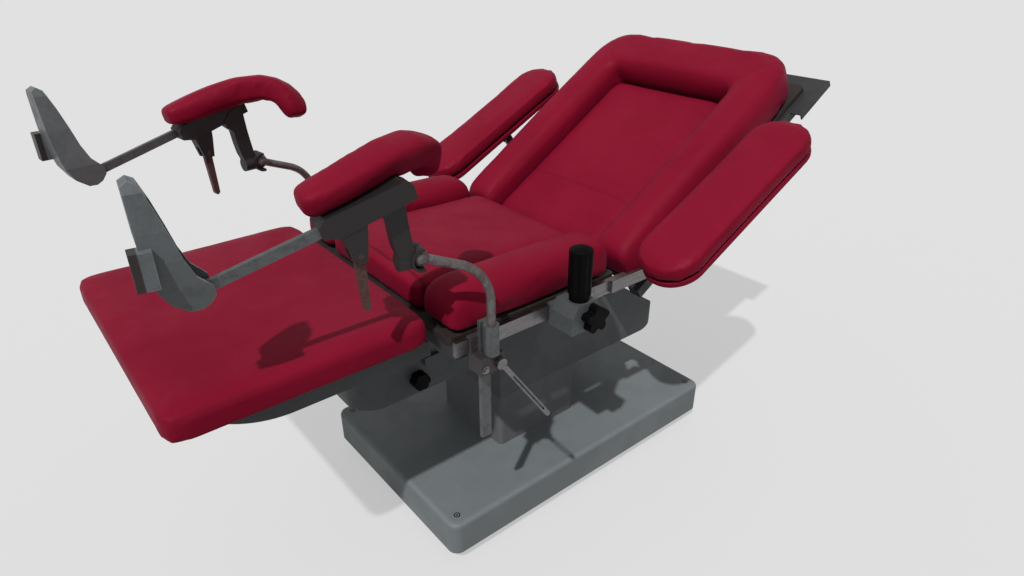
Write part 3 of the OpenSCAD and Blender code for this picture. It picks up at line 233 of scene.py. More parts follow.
def add(tree, kind, sockets=None, **settings):
    """A node with its settings, and its inputs set or linked."""
    node = tree.nodes.new(kind)
    for name, value in settings.items():
        setattr(node, name, value)
    feed(tree, node, sockets or {})
    return node


def calc(tree, operation, first, second=0.0, clamp=False):
    """Result of a sum on two values or sockets."""
    node = add(tree, "ShaderNodeMath", {0: first, 1: second}, operation=operation, use_clamp=clamp)
    return node.outputs[0]


def ramp(tree, value, low, high, to_low=0.0, to_high=1.0):
    """A value carried smoothly from one range to another, and held at the ends."""
    node = add(
        tree, "ShaderNodeMapRange",
        {"Value": value, "From Min": low, "From Max": high, "To Min": to_low, "To Max": to_high},
        interpolation_type="SMOOTHSTEP",
    )
    return node.outputs["Result"]


def noise(tree, point, scale, detail, roughness=0.5, distortion=0.0):
    """Clouds of a noise texture."""
    node = add(
        tree, "ShaderNodeTexNoise",
        {
            "Vector": point, "Scale": scale, "Detail": detail, "Roughness": roughness,
            "Distortion": distortion,
        },
    )
    return node.outputs["Fac"]


def mix_colour(tree, share, first, second):
    """Two colours mixed, all first at a share of 0 and all second at 1."""
    node = add(tree, "ShaderNodeMix", data_type="RGBA")
    for number, value in ((0, share), (6, first), (7, second)):
        plug(tree, node.inputs[number], value)
    return node.outputs[2]


def over(tree, mask, share, tone, colour):
    """A tone with a colour laid over it where a mask says, at most as strongly as share."""
    return mix_colour(tree, calc(tree, "MULTIPLY", mask, share), tone, colour)


def surface_point(tree):
    """Place on the surface in the piece's own coordinates."""
    return add(tree, "ShaderNodeTexCoord").outputs["Object"]


def bump(tree, height, strength, distance):
    """Normal bent by a height."""
    node = add(tree, "ShaderNodeBump", {"Height": height, "Strength": strength, "Distance": distance})
    return node.outputs[0]


def scaled(colour, share, lift=0.0):
    """A colour made darker or lighter, opaque and within range."""
    return tuple(min(1.0, channel * share + lift) for channel in colour[:3]) + (1.0,)


# Effects that several materials share


def new_group(name, inputs, outputs):
    """An empty group with float inputs and their defaults, and float outputs."""
    tree = bpy.data.node_groups.new(name, "ShaderNodeTree")
    for entry, value in inputs.items():
        socket = tree.interface.new_socket(entry, in_out="INPUT", socket_type="NodeSocketFloat")
        socket.default_value = value
    for entry in outputs:
        tree.interface.new_socket(entry, in_out="OUTPUT", socket_type="NodeSocketFloat")
    return tree, tree.nodes.new("NodeGroupInput").outputs, tree.nodes.new("NodeGroupOutput").inputs


def leather_grain():
    """Fine pebbled grain and the soft mottle of stretched leatherette."""
    tree, given, made = new_group(
        "Leatherette Grain", {"Grain Size": 0.002, "Mottle Size": 0.12}, ("Height", "Mottle"),
    )
    point = surface_point(tree)
    fineness = calc(tree, "DIVIDE", 1.0, given["Grain Size"])
    pebbles = add(tree, "ShaderNodeTexVoronoi", {"Vector": point, "Scale": fineness})
    creases = noise(tree, point, calc(tree, "DIVIDE", 0.3, given["Grain Size"]), 5.0, 0.62)
    clouds = noise(tree, point, calc(tree, "DIVIDE", 1.0, given["Mottle Size"]), 4.0, 0.55)
    rounded = calc(tree, "MULTIPLY", ramp(tree, pebbles.outputs["Distance"], 0.05, 0.7), 0.35)
    height = calc(tree, "ADD", rounded, calc(tree, "MULTIPLY", creases, 0.65))
    tree.links.new(height, made["Height"])
    tree.links.new(ramp(tree, clouds, 0.32, 0.7), made["Mottle"])
    return tree


def worn_and_highlit_edges():
    """Mask of edges, broken up in patches, for rubbed wear and a painted highlight on them."""
    tree, given, made = new_group("Worn And Highlit Edges", {"Width": 0.003, "Patch Size": 0.02}, ("Mask",))
    rounded = add(tree, "ShaderNodeBevel", {"Radius": given["Width"]}, samples=4)
    flat = add(tree, "ShaderNodeNewGeometry").outputs["Normal"]
    turn = add(tree, "ShaderNodeVectorMath", {0: rounded.outputs[0], 1: flat}, operation="DOT_PRODUCT")
    patches = noise(tree, surface_point(tree), calc(tree, "DIVIDE", 1.0, given["Patch Size"]), 5.0, 0.7)
    edge = ramp(tree, turn.outputs["Value"], 0.995, 0.86)
    broken = ramp(tree, patches, 0.38, 0.62)
    tree.links.new(calc(tree, "MULTIPLY", edge, broken), made["Mask"])
    return tree


def creeping_stain():
    """Mask of stains and smudges with ragged borders, and a finer one of specks."""
    tree, given, made = new_group(
        "Creeping Stain", {"Patch Size": 0.05, "Cover": 0.5}, ("Mask", "Speckle"),
    )
    point = surface_point(tree)
    scale = calc(tree, "DIVIDE", 1.0, given["Patch Size"])
    clouds = noise(tree, point, scale, 6.0, 0.66, 0.6)
    level = calc(tree, "SUBTRACT", 1.0, given["Cover"])
    low = calc(tree, "ADD", calc(tree, "MULTIPLY", level, 0.5), 0.16)
    specks = noise(tree, point, calc(tree, "MULTIPLY", scale, 9.0), 3.0, 0.6)
    tree.links.new(ramp(tree, clouds, low, calc(tree, "ADD", low, 0.2)), made["Mask"])
    tree.links.new(ramp(tree, specks, 0.45, 0.72), made["Speckle"])
    return tree


def brushed_lines():
    """Long fine scratches along Y, from a stretched noise."""
    tree, given, made = new_group("Brushed Lines", {"Fineness": 900.0, "Stretch": 0.03}, ("Height",))
    scale = add(tree, "ShaderNodeCombineXYZ", {"X": 1.0, "Y": given["Stretch"], "Z": 1.0}).outputs[0]
    drawn = add(tree, "ShaderNodeVectorMath", {0: surface_point(tree), 1: scale}, operation="MULTIPLY")
    tree.links.new(noise(tree, drawn.outputs[0], given["Fineness"], 3.0, 0.6), made["Height"])
    return tree


def settled_dust():
    """Mask of dust that lies on faces that look up and thins out with height."""
    tree, given, made = new_group(
        "Settled Dust", {"Low": 0.0, "High": 0.4, "Patch Size": 0.08}, ("Mask",),
    )
    normal = add(tree, "ShaderNodeNewGeometry").outputs["Normal"]
    up = add(tree, "ShaderNodeSeparateXYZ", {0: normal}).outputs["Z"]
    height = add(tree, "ShaderNodeSeparateXYZ", {0: surface_point(tree)}).outputs["Z"]
    thinning = add(
        tree, "ShaderNodeMapRange",
        {
            "Value": height, "From Min": given["Low"], "From Max": given["High"],
            "To Min": 1.0, "To Max": 0.2,
        },
    )
    clouds = noise(tree, surface_point(tree), calc(tree, "DIVIDE", 1.0, given["Patch Size"]), 6.0, 0.65)
    lying = calc(tree, "MULTIPLY", ramp(tree, up, 0.2, 0.95, 0.25, 1.0), thinning.outputs["Result"])
    mask = calc(tree, "MULTIPLY", lying, ramp(tree, clouds, 0.3, 0.75), clamp=True)
    tree.links.new(mask, made["Mask"])
    return tree


BUILDERS = {
    "Leatherette Grain": leather_grain,
    "Worn And Highlit Edges": worn_and_highlit_edges,
    "Creeping Stain": creeping_stain,
    "Brushed Lines": brushed_lines,
    "Settled Dust": settled_dust,
}
GROUPS = {}


def effect(tree, name, **values):
    """Places a shared effect in a material; underscores in the names stand for spaces."""
    if name not in GROUPS:
        GROUPS[name] = BUILDERS[name]()
    node = tree.nodes.new("ShaderNodeGroup")
    node.node_tree = GROUPS[name]
    for entry, value in values.items():
        node.inputs[entry.replace("_", " ")].default_value = value
    return node.outputs


# Materials


def new_material(name):
    """A material with its node tree and its Principled shader."""
    material = bpy.data.materials.new(name)
    material.use_nodes = True
    tree = material.node_tree
    return material, tree, tree.nodes["Principled BSDF"]


def leatherette():
    """Crimson leatherette: pebbled grain, mottled tone, and painted shade darkening its seams."""
    settings = bpy.context.scene.table_upholstery
    material, tree, shader = new_material("Leatherette")
    grain = effect(tree, "Leatherette Grain", Grain_Size=settings.grain, Mottle_Size=0.16)
    smudge = effect(tree, "Creeping Stain", Patch_Size=0.2, Cover=0.42)["Mask"]
    seam = add(tree, "ShaderNodeAttribute", attribute_name="seam").outputs["Fac"]
    share = calc(tree, "MULTIPLY", grain["Mottle"], 0.22)
    share = calc(tree, "ADD", share, calc(tree, "MULTIPLY", smudge, 0.1))
    tone = mix_colour(tree, share, settings.colour[:], settings.mottle_and_seam_shade[:])
    # Painted shade: the seams are darkened as if shade lay in their creases
    tone = over(tree, seam, 0.8, tone, scaled(settings.mottle_and_seam_shade, 0.4))
    rough = ramp(tree, grain["Mottle"], 0.0, 1.0, 0.52, 0.6)
    rough = calc(tree, "ADD", rough, calc(tree, "MULTIPLY", smudge, 0.05))
    feed(tree, shader, {
        "Base Color": tone,
        "Roughness": rough,
        "Specular IOR Level": 0.08,
        "Sheen Weight": 0.07,
        "Sheen Roughness": 0.35,
        "Sheen Tint": settings.sheen[:],
        "Normal": bump(tree, grain["Height"], 0.36, 0.0006),
    })
    return material


def paint(name, colour, dust=0.1, edge_wear_and_highlight=0.5, smear=0.3, roughness=0.46, rub_and_highlight=1.9):
    """Sprayed paint: fine speckle and orange peel, faint smears, rubbed edges with a painted highlight, and
    settled dust.
    """
    dusty = bpy.context.scene.table_paint.dust[:]
    material, tree, shader = new_material(name)
    smudge = effect(tree, "Creeping Stain", Patch_Size=0.16, Cover=0.5)["Mask"]
    edge = effect(tree, "Worn And Highlit Edges", Width=0.0035, Patch_Size=0.03)["Mask"]
    lying = effect(tree, "Settled Dust", Low=0.0, High=0.5, Patch_Size=0.035)["Mask"]
    fine = noise(tree, surface_point(tree), 260.0, 4.0, 0.7)
    tone = mix_colour(tree, ramp(tree, fine, 0.3, 0.72, 0.0, 0.3), colour, scaled(colour, 0.72))
    tone = over(tree, smudge, smear, tone, scaled(colour, 0.74))
    tone = over(tree, lying, dust, tone, dusty)
    # Edges lightened: partly rubbed wear, partly a painted highlight
    tone = over(tree, edge, edge_wear_and_highlight, tone, scaled(colour, rub_and_highlight))
    rough = ramp(tree, smudge, 0.0, 1.0, roughness, roughness + 0.1)
    rough = calc(tree, "ADD", rough, calc(tree, "MULTIPLY", lying, 0.2))
    feed(tree, shader, {
        "Base Color": tone,
        "Roughness": rough,
        "Specular IOR Level": 0.3,
        "Normal": bump(tree, fine, 0.14, 0.0004),
    })
    return material


def metal(
    name, colour, stain, cover, size=0.03, roughness=0.5, shine=0.4, depth=0.3, edge_wear_and_highlight=0.5, spread=0.5,
    streaks=0.3,
):
    """Bare or thinly coated metal: drawn streaks, fine speckle, and a stain that dulls it.

    Cover and size are those of the stain's patches, spread how strongly they colour the metal."""
    material, tree, shader = new_material(name)
    creep = effect(tree, "Creeping Stain", Patch_Size=size, Cover=cover)
    lines = effect(tree, "Brushed Lines", Fineness=420.0, Stretch=0.035)["Height"]
    edge = effect(tree, "Worn And Highlit Edges", Width=0.0018, Patch_Size=0.015)["Mask"]
    tone = mix_colour(tree, ramp(tree, lines, 0.32, 0.68, 0.0, streaks), colour, scaled(colour, 0.5))
    tone = over(tree, creep["Mask"], spread, tone, stain)
    tone = over(tree, creep["Speckle"], 0.3, tone, scaled(stain, 0.55))
    # Edges lightened: partly rubbed wear, partly a painted highlight
    tone = over(tree, edge, edge_wear_and_highlight, tone, scaled(colour, 1.8))
    rough = ramp(tree, creep["Mask"], 0.0, 1.0, roughness, roughness + 0.2)
    rough = calc(tree, "ADD", rough, calc(tree, "MULTIPLY", lines, 0.12))
    height = calc(tree, "MULTIPLY", lines, 0.5)
    height = calc(tree, "ADD", height, calc(tree, "MULTIPLY", creep["Speckle"], 0.5))
    feed(tree, shader, {
        "Base Color": tone,
        "Roughness": rough,
        "Metallic": ramp(tree, creep["Mask"], 0.0, 1.0, shine, shine * 0.5),
        "Normal": bump(tree, height, depth, 0.0004),
    })
    return material


def plastic(name, colour, roughness=0.55, grain=900.0, scuff=0.4, edge_wear_and_highlight=0.5, gleam=0.3, blocks=False):
    """Moulded plastic or rubber: fine texture, scuffs, and edges made lighter by rubbing and by a painted
    highlight.

    Blocks gives the block behind each foot plate its own dark colour."""
    material, tree, shader = new_material(name)
    scuffs = effect(tree, "Creeping Stain", Patch_Size=0.03, Cover=0.42)
    edge = effect(tree, "Worn And Highlit Edges", Width=0.002, Patch_Size=0.02)["Mask"]
    texture = noise(tree, surface_point(tree), grain, 3.0)
    tone = over(tree, scuffs["Mask"], scuff, colour, scaled(colour, 0.62))
    tone = over(tree, scuffs["Speckle"], scuff * 0.6, tone, scaled(colour, 0.42))
    # Edges lightened: partly rubbed wear, partly a painted highlight
    tone = over(tree, edge, edge_wear_and_highlight, tone, scaled(colour, 2.1, 0.004))
    if blocks:
        tone = mix_colour(tree, foot_block(tree), tone, bpy.context.scene.table_paint.block[:])
    feed(tree, shader, {
        "Base Color": tone,
        "Roughness": ramp(tree, scuffs["Mask"], 0.0, 1.0, roughness, roughness + 0.16),
        "Specular IOR Level": gleam,
        "Normal": bump(tree, texture, 0.2, 0.0004),
    })
    return material


def foot_block(tree):
    """Mask of the block behind a foot plate: what lies far enough behind the ankle on either side."""
    place = add(tree, "ShaderNodeSeparateXYZ", {0: surface_point(tree)}).outputs
    out = calc(tree, "SUBTRACT", calc(tree, "ABSOLUTE", place["X"]), abs(ANKLE[0]))
    along = calc(tree, "SUBTRACT", place["Y"], ANKLE[1])
    aside = calc(tree, "MULTIPLY", out, math.sin(FOOT_TOE_IN))
    reach = calc(tree, "ADD", aside, calc(tree, "MULTIPLY", along, math.cos(FOOT_TOE_IN)))
    return ramp(tree, reach, FOOT_BLOCK_BLUR - FOOT_BLOCK_START, -FOOT_BLOCK_BLUR - FOOT_BLOCK_START)


def dark_shaded_board(colour):
    """Board with fibres and faint layers on its edges, its dark colour a painted shade for the shadow under
    the cushions.
    """
    material, tree, shader = new_material("Dark Shaded Board")
    point = surface_point(tree)
    layers = add(
        tree, "ShaderNodeTexWave",
        {"Vector": point, "Scale": 160.0, "Distortion": 1.5, "Detail": 2.0}, bands_direction="Z",
    )
    fibres = noise(tree, point, 90.0, 5.0, 0.65)
    # Dark base colour: painted shade for the shadow under the cushions
    tone = over(tree, layers.outputs["Fac"], 0.4, colour, scaled(colour, 0.6))
    tone = mix_colour(tree, ramp(tree, fibres, 0.35, 0.7, 0.0, 0.5), tone, scaled(colour, 1.7))
    feed(tree, shader, {
        "Base Color": tone,
        "Roughness": ramp(tree, fibres, 0.3, 0.7, 0.6, 0.78),
        "Specular IOR Level": 0.25,
        "Normal": bump(tree, fibres, 0.3, 0.0006),
    })
    return material


MATERIALS = {}


def finish(name):
    """A finish by its name, made once."""
    coat = bpy.context.scene.table_paint
    makers = {
        "leatherette": leatherette,
        "board": lambda: dark_shaded_board(coat.board[:]),
        "cover paint": lambda: paint("Cover Paint", coat.cover[:]),
        "casing paint": lambda: paint("Casing Paint", coat.casing[:], dust=0.06, smear=0.35),
        "tray paint": lambda: paint(
            "Tray Paint", scaled(coat.casing, 0.6), dust=0.04, edge_wear_and_highlight=0.8, smear=0.4,
        ),
        "column paint": lambda: paint("Column Paint", coat.column[:], smear=0.35, roughness=0.5),
        "frame paint": lambda: paint(
            "Frame Paint", coat.dark[:], dust=0.08, smear=0.5, edge_wear_and_highlight=0.7, rub_and_highlight=2.6,
        ),
        "casting": lambda: metal(
            "Grey Casting", coat.casting[:], scaled(coat.casting, 0.5), cover=0.42, shine=0.25,
            streaks=0.2,
        ),
        "stained casting": lambda: metal(
            "Stained Casting", coat.clamp[:], coat.stain[:], cover=0.36, size=0.012, depth=0.35,
            spread=0.6, streaks=0.25,
        ),
        "dark casting": lambda: metal(
            "Dark Casting", coat.bracket[:], scaled(coat.stain, 0.4), cover=0.34, shine=0.3,
            depth=0.4, edge_wear_and_highlight=0.4, streaks=0.2,
        ),
        "steel": lambda: metal(
            "Drawn Steel", coat.steel[:], scaled(coat.stain, 0.7), cover=0.2, roughness=0.3,
            shine=1.0, depth=0.12, edge_wear_and_highlight=0.3, streaks=0.5,
        ),
        "stained steel": lambda: metal(
            "Stained Steel", coat.rod[:], coat.stain[:], cover=0.5, size=0.014, roughness=0.4,
            shine=0.7, edge_wear_and_highlight=0.4, spread=0.55, streaks=0.5,
        ),
        "bar steel": lambda: metal(
            "Bar Steel", coat.bar[:], coat.bar_grime[:], cover=0.4, size=0.02, roughness=0.42,
            shine=0.6, depth=0.2,
        ),
        "chrome": lambda: metal(
            "Polished Tube", coat.tube[:], coat.stain[:], cover=0.1, size=0.05, roughness=0.14,
            shine=1.0, depth=0.05, edge_wear_and_highlight=0.1, spread=0.4, streaks=0.15,
        ),
        "lever steel": lambda: metal(
            "Stained Lever", coat.lever[:], coat.lever_stain[:], cover=0.5, size=0.012, spread=0.7,
        ),
        "foot plate": lambda: plastic(
            "Moulded Foot Plate", coat.plate[:], roughness=0.44, grain=700.0, edge_wear_and_highlight=0.8, gleam=0.35,
            blocks=True,
        ),
        "black plastic": lambda: plastic(
            "Black Plastic", coat.black[:], scuff=0.3, edge_wear_and_highlight=0.2, gleam=0.06,
        ),
        "tyre": lambda: plastic("Tyre Rubber", coat.tyre[:], roughness=0.62, grain=500.0),
    }
    if name not in MATERIALS:
        MATERIALS[name] = makers[name]()
    return MATERIALS[name]


def dress(names, finish_name):
    """Gives CAD nodes a finish; a name without a side takes both sides."""
    for name in names:
        for node in (name, f"{name}_left", f"{name}_right"):
            if node in frame["nodes"]:
                for slot in frame["nodes"][node].material_slots:
                    slot.material = finish(finish_name)


# Mesh building


def new_object(name, mesh):
    """A mesh placed in the scene."""
    piece = bpy.data.objects.new(name, mesh)
    bpy.context.scene.collection.objects.link(piece)
    return piece


def new_mesh(name, form):
    """A mesh from a finished form, which is freed."""
    mesh = bpy.data.meshes.new(name)
    form.to_mesh(mesh)
    form.free()
    return mesh


def new_piece(name, mesh, body, finish_name):
    """A visible piece that rides on a body."""
    piece = new_object(name, mesh)
    mesh.materials.clear()
    mesh.materials.append(finish(finish_name))
    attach(piece, body)
    return piece


def apply_modifiers(piece):
    """Turns a piece's modifiers into its mesh."""
    made = bpy.data.meshes.new_from_object(piece.evaluated_get(bpy.context.evaluated_depsgraph_get()))
    piece.modifiers.clear()
    old = piece.data
    piece.data = made
    bpy.data.meshes.remove(old)


def back_lay():
    """From the back's own lying frame to the table."""
    return Matrix.Translation(JOINTS["back_tilt"]["pos_m"]) @ Matrix.Rotation(BACK_REST, 4, "X")


def armrest_lay(sign):
    """From an armrest's own lying frame to the table."""
    pivot = Vector(JOINTS["armrest_tilt_right"]["pos_m"])
    place = Matrix.Translation((sign * pivot.x, pivot.y, pivot.z))
    return place @ Matrix.Rotation(ARMREST_REST, 4, "X")


def inflate(piece, swell, pressure):
    """Pads the cover out with cloth under pressure, no point further than swell."""
    rest = [v.co.copy() for v in piece.data.vertices]
    cloth = piece.modifiers.new("Padding", "CLOTH")
    cloth.settings.quality = 4
    cloth.settings.use_pressure = True
    cloth.settings.uniform_pressure_force = pressure
    cloth.settings.effector_weights.gravity = 0
    for number in range(1, PADDING_FRAMES + 1):
        bpy.context.scene.frame_set(number)
    apply_modifiers(piece)
    for vertex, start in zip(piece.data.vertices, rest):
        step = vertex.co - start
        if step.length > swell:
            vertex.co = start + step * (swell / step.length)
    bpy.context.scene.frame_set(1)


def seam_at(axis, place):
    """Distance of a point from where one of its coordinates has a set value."""
    return lambda point: abs(getattr(point, axis) - place)


def sew(piece, lay, seams, depth, width):
    """Draws the cover in along its seams and marks them for the material.

    A seam is a measure of how far a point lies from it, and how firm it is drawn, from 0 to 1."""
    back = lay.inverted()
    mesh = piece.data
    marks = mesh.attributes.new("seam", "FLOAT", "POINT").data
    for vertex in mesh.vertices:
        here = back @ vertex.co
        share = max((firm * math.exp(-((seam(here) / width) ** 2)) for seam, firm in seams), default=0.0)
        marks[vertex.index].value = share
        if share > FAINT_SEAM:
            vertex.co -= vertex.normal * depth * share


def drawn_in(node, swell, inset, crown):
    """Copy of a node's mesh, drawn in by a share of the swell to leave room for the padding.

    A crown moves it out again, by all of it on top and by a share of it on upright sides."""
    mesh = frame["nodes"][node].data.copy()
    form = bmesh.new()
    form.from_mesh(mesh)
    bmesh.ops.remove_doubles(form, verts=form.verts, dist=WELD)
    bmesh.ops.recalc_face_normals(form, faces=form.faces)
    form.normal_update()
    for vertex, normal in [(v, v.normal.copy()) for v in form.verts]:
        raised = min(1.0, max(0.0, CROWN_ON_SIDES + normal.z))
        vertex.co -= normal * (swell * inset - crown * raised)
    form.to_mesh(mesh)
    form.free()
    return mesh


def press_flat(piece, lay, level):
    """Lifts what hangs below a level in the lying frame up to it."""
    back = lay.inverted()
    for vertex in piece.data.vertices:
        here = back @ vertex.co
        if here.z < level:
            here.z = level
            vertex.co = lay @ here


def cushion(
    node, body, seams=(), lay=None, rest_on=None, voxel_scale=1.0, soften=2, swell=None,
    inset=0.8, crown=0.0,
):
    """Upholstered cushion that replaces a CAD node: its form drawn in, evened out, padded and sewn.

    Seams and rest_on, the level of its flat underside, are given in the lying frame."""
    settings = bpy.context.scene.table_upholstery
    swell = swell or settings.swell
    lay = lay or Matrix()
    piece = new_object(f"{node}_cushion", drawn_in(node, swell, inset, crown))
    remesh = piece.modifiers.new("Even Mesh", "REMESH")
    remesh.mode = "VOXEL"
    remesh.voxel_size = settings.voxel * voxel_scale
    relax = piece.modifiers.new("Relax", "SMOOTH")
    relax.iterations = soften
    apply_modifiers(piece)
    inflate(piece, swell, settings.pressure)
    piece.modifiers.new("Subdivision", "SUBSURF").levels = 1
    apply_modifiers(piece)
    if rest_on is not None:
        press_flat(piece, lay, rest_on)
    piece.data.update()
    sew(piece, lay, seams, settings.seam_depth, settings.seam_width)
    finish_cushion(piece, node, body)
    return piece


def finish_cushion(piece, node, body):
    """Covers a cushion and puts it in the place of its CAD node."""
    piece.data.materials.clear()
    piece.data.materials.append(finish("leatherette"))
    piece.data.polygons.foreach_set("use_smooth", [True] * len(piece.data.polygons))
    piece.data.update()
    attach(piece, body)
    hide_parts(node)


def mirrored(piece, node, body):
    """The left-hand copy of a cushion."""
    mesh = piece.data.copy()
    mesh.transform(Matrix.Scale(-1, 4, (1, 0, 0)))
    mesh.flip_normals()
    copy = new_object(f"{node}_cushion", mesh)
    finish_cushion(copy, node, body)
    return copy


def wrapped_edge(name, node, body, lay, low, high):
    """Cover drawn round the edge of a board, from under the cushion to a hem below the board."""
    proud = 0.0022
    lap = 0.016
    tuck = 0.001
    bend = 0.002
    rise = 0.0012
    hem = 0.0016
    near = 0.0002
    profile = (
        (-lap * 0.5, high - tuck),
        (-bend, high + rise),
        (proud * 0.7, high + near),
        (proud, high - bend),
        (proud * 1.1, (high + low) / 2),
        (proud, low + hem),
        (proud * 0.3, low - rise),
        (-lap, low - hem),
        (-lap, low + tuck),
    )
    back = lay.inverted()
    points = [back @ vertex.co for vertex in frame["nodes"][node].data.vertices]
    flat = [Vector((p.x, p.y)) for p in points if low - near < p.z < high + near]
    outline = [flat[k] for k in convex_hull_2d(flat)]
    if sum(a.cross(b) for a, b in zip(outline, outline[1:] + outline[:1])) < 0:
        outline.reverse()
    form = bmesh.new()
    rings = []
    for before, here, after in zip(outline[-1:] + outline[:-1], outline, outline[1:] + outline[:1]):
        first, second = (here - before).normalized(), (after - here).normalized()
        out = (Vector((first.y, -first.x)) + Vector((second.y, -second.x))).normalized()
        rings.append([form.verts.new(lay @ Vector((*(here + out * off), z))) for off, z in profile])
    count = len(profile)
    for first, second in zip(rings, rings[1:] + rings[:1]):
        for k in range(count):
            form.faces.new((first[k], first[(k + 1) % count], second[(k + 1) % count], second[k]))
    bmesh.ops.recalc_face_normals(form, faces=form.faces)
    piece = new_piece(name, new_mesh(name, form), body, "leatherette")
    return piece


def hex_bolt(name, place, axis, across, height, body):
    """Hexagon head with a chamfered crown on a turned washer."""
    washer_radius = across * 0.78
    washer_height = height * 0.24
    corner_radius = across * 0.577
    form = bmesh.new()
    washer = bmesh.ops.create_cone(
        form, cap_ends=True, segments=32, radius1=washer_radius, radius2=washer_radius,
        depth=washer_height, matrix=Matrix.Translation((0, 0, washer_height / 2)),
    )
    bmesh.ops.create_cone(
        form, cap_ends=True, segments=6, radius1=corner_radius, radius2=corner_radius,
        depth=height * 0.76, matrix=Matrix.Translation((0, 0, height * 0.62)),
    )
    rims = [e for e in form.edges if all(v.co.z > height * 0.9 for v in e.verts)]
    rims += [
        e for e in form.edges
        if e.verts[0] in washer["verts"] and all(abs(v.co.z - washer_height) < 1e-6 for v in e.verts)
    ]
    bmesh.ops.bevel(form, geom=rims, offset=height * 0.1, segments=2, affect="EDGES")
    mesh = new_mesh(name, form)
    mesh.transform(Matrix.Translation(place) @ Vector(axis).to_track_quat("Z", "Y").to_matrix().to_4x4())
    return new_piece(name, mesh, body, "steel")


def screw_head(name, place, body):
    """Round washer with a low screw head sunk in its middle."""
    washer_radius = 0.0078
    head_radius = 0.0042
    lip = 0.0004
    washer_edge = 0.0009
    washer_height = 0.0011
    head_height = 0.0008
    sunk = 0.0003
    rings = (
        (washer_radius, 0.0),
        (washer_radius - lip, washer_edge),
        (washer_radius * 2 / 3, washer_height),
        (head_radius + lip, sunk),
        (head_radius, sunk),
        (head_radius / 3, head_height),
    )
    sides = 24
    form = bmesh.new()
    loops = []
    for radius, height in rings:
        angles = [math.tau * k / sides for k in range(sides)]
        loops.append([form.verts.new((radius * math.cos(a), radius * math.sin(a), height)) for a in angles])
    for outer, inner in zip(loops, loops[1:]):
        for k in range(sides):
            form.faces.new((outer[k], outer[(k + 1) % sides], inner[(k + 1) % sides], inner[k]))
    form.faces.new(loops[-1])
    form.faces.new(list(reversed(loops[0])))
    mesh = new_mesh(name, form)
    mesh.transform(Matrix.Translation(place))
    return new_piece(name, mesh, body, "dark casting")


# Stage


def seen_directly(tree):
    """One for the rays that show a surface, zero for those that only light others."""
    path = add(tree, "ShaderNodeLightPath").outputs
    mirrored_rays = calc(tree, "MAXIMUM", path["Is Glossy Ray"], path["Is Transmission Ray"])
    return calc(tree, "MAXIMUM", path["Is Camera Ray"], mirrored_rays)


def floor_material(settings):
    """Pale floor that takes a soft shadow, and gives little light back to the table."""
    material, tree, shader = new_material("Studio Floor")
    seen = seen_directly(tree)
    faint = noise(tree, surface_point(tree), 0.6, 3.0)
    pale = scaled(settings.floor, settings.shadow)
    tone = mix_colour(tree, ramp(tree, faint, 0.3, 0.7, 0.0, 0.1), pale, scaled(pale, 0.96))
    feed(tree, shader, {"Base Color": tone, "Roughness": 0.95, "Specular IOR Level": 0.0})
    shader.inputs["Emission Color"].default_value = settings.floor[:]
    shader.inputs["Emission Strength"].default_value = 1 - settings.shadow
    unseen = add(tree, "ShaderNodeBsdfDiffuse", {"Color": scaled(settings.floor, settings.bounce)})
    both = add(tree, "ShaderNodeMixShader", {0: seen, 1: unseen.outputs[0], 2: shader.outputs[0]})
    tree.links.new(both.outputs[0], tree.nodes["Material Output"].inputs["Surface"])
    return material


def lay_floor(settings):
    """The wide floor under the table."""
    form = bmesh.new()
    bmesh.ops.create_grid(form, x_segments=8, y_segments=8, size=FLOOR_REACH)
    floor = new_object("floor", new_mesh("floor", form))
    floor.data.materials.append(floor_material(settings))


def hang_key_light(settings):
    """The sun that throws the table's shadow."""
    lamp = bpy.data.lights.new("key_light", "SUN")
    lamp.energy = settings.sun
    lamp.angle = SUN_ANGLE
    key = new_object("key_light", lamp)
    key.rotation_mode = "QUATERNION"
    key.rotation_quaternion = SUN_DIRECTION.to_track_quat("-Z", "Y")


def light_world(settings):
    """Even white light from all round, and a pale backdrop where it is seen."""
    world = bpy.data.worlds.new("studio")
    world.use_nodes = True
    bpy.context.scene.world = world
    tree = world.node_tree
    seen = seen_directly(tree)
    fill = tree.nodes["Background"]
    feed(tree, fill, {"Color": (1.0, 1.0, 1.0, 1.0), "Strength": settings.sky})
    backdrop = add(tree, "ShaderNodeBackground", {"Color": settings.floor[:], "Strength": settings.backdrop})
    both = add(tree, "ShaderNodeMixShader", {0: seen, 1: fill.outputs[0], 2: backdrop.outputs[0]})
    tree.links.new(both.outputs[0], tree.nodes["World Output"].inputs["Surface"])


def set_camera(settings):
    """The photograph's view."""
    camera = bpy.data.cameras.new("camera")
    camera.lens = settings.lens
    camera.sensor_width = SENSOR_WIDTH
    eye = new_object("camera", camera)
    level = math.cos(EYE_TIP)
    back = Vector((math.sin(EYE_TURN) * level, -math.cos(EYE_TURN) * level, math.sin(EYE_TIP)))
    eye.location = EYE
    eye.rotation_mode = "QUATERNION"
    eye.rotation_quaternion = (-back).to_track_quat("-Z", "Y")
    bpy.context.scene.camera = eye


# Operators


class TABLE_OT_stage(bpy.types.Operator):
    """Pale floor, key light, fill light and the camera"""

    bl_idname = "table.stage"
    bl_label = "Stage"

    def execute(self, context):
        settings = context.scene.table_stage
        lay_floor(settings)
        hang_key_light(settings)
        light_world(settings)
        set_camera(settings)
        context.scene.view_settings.view_transform = "Standard"
        return {"FINISHED"}


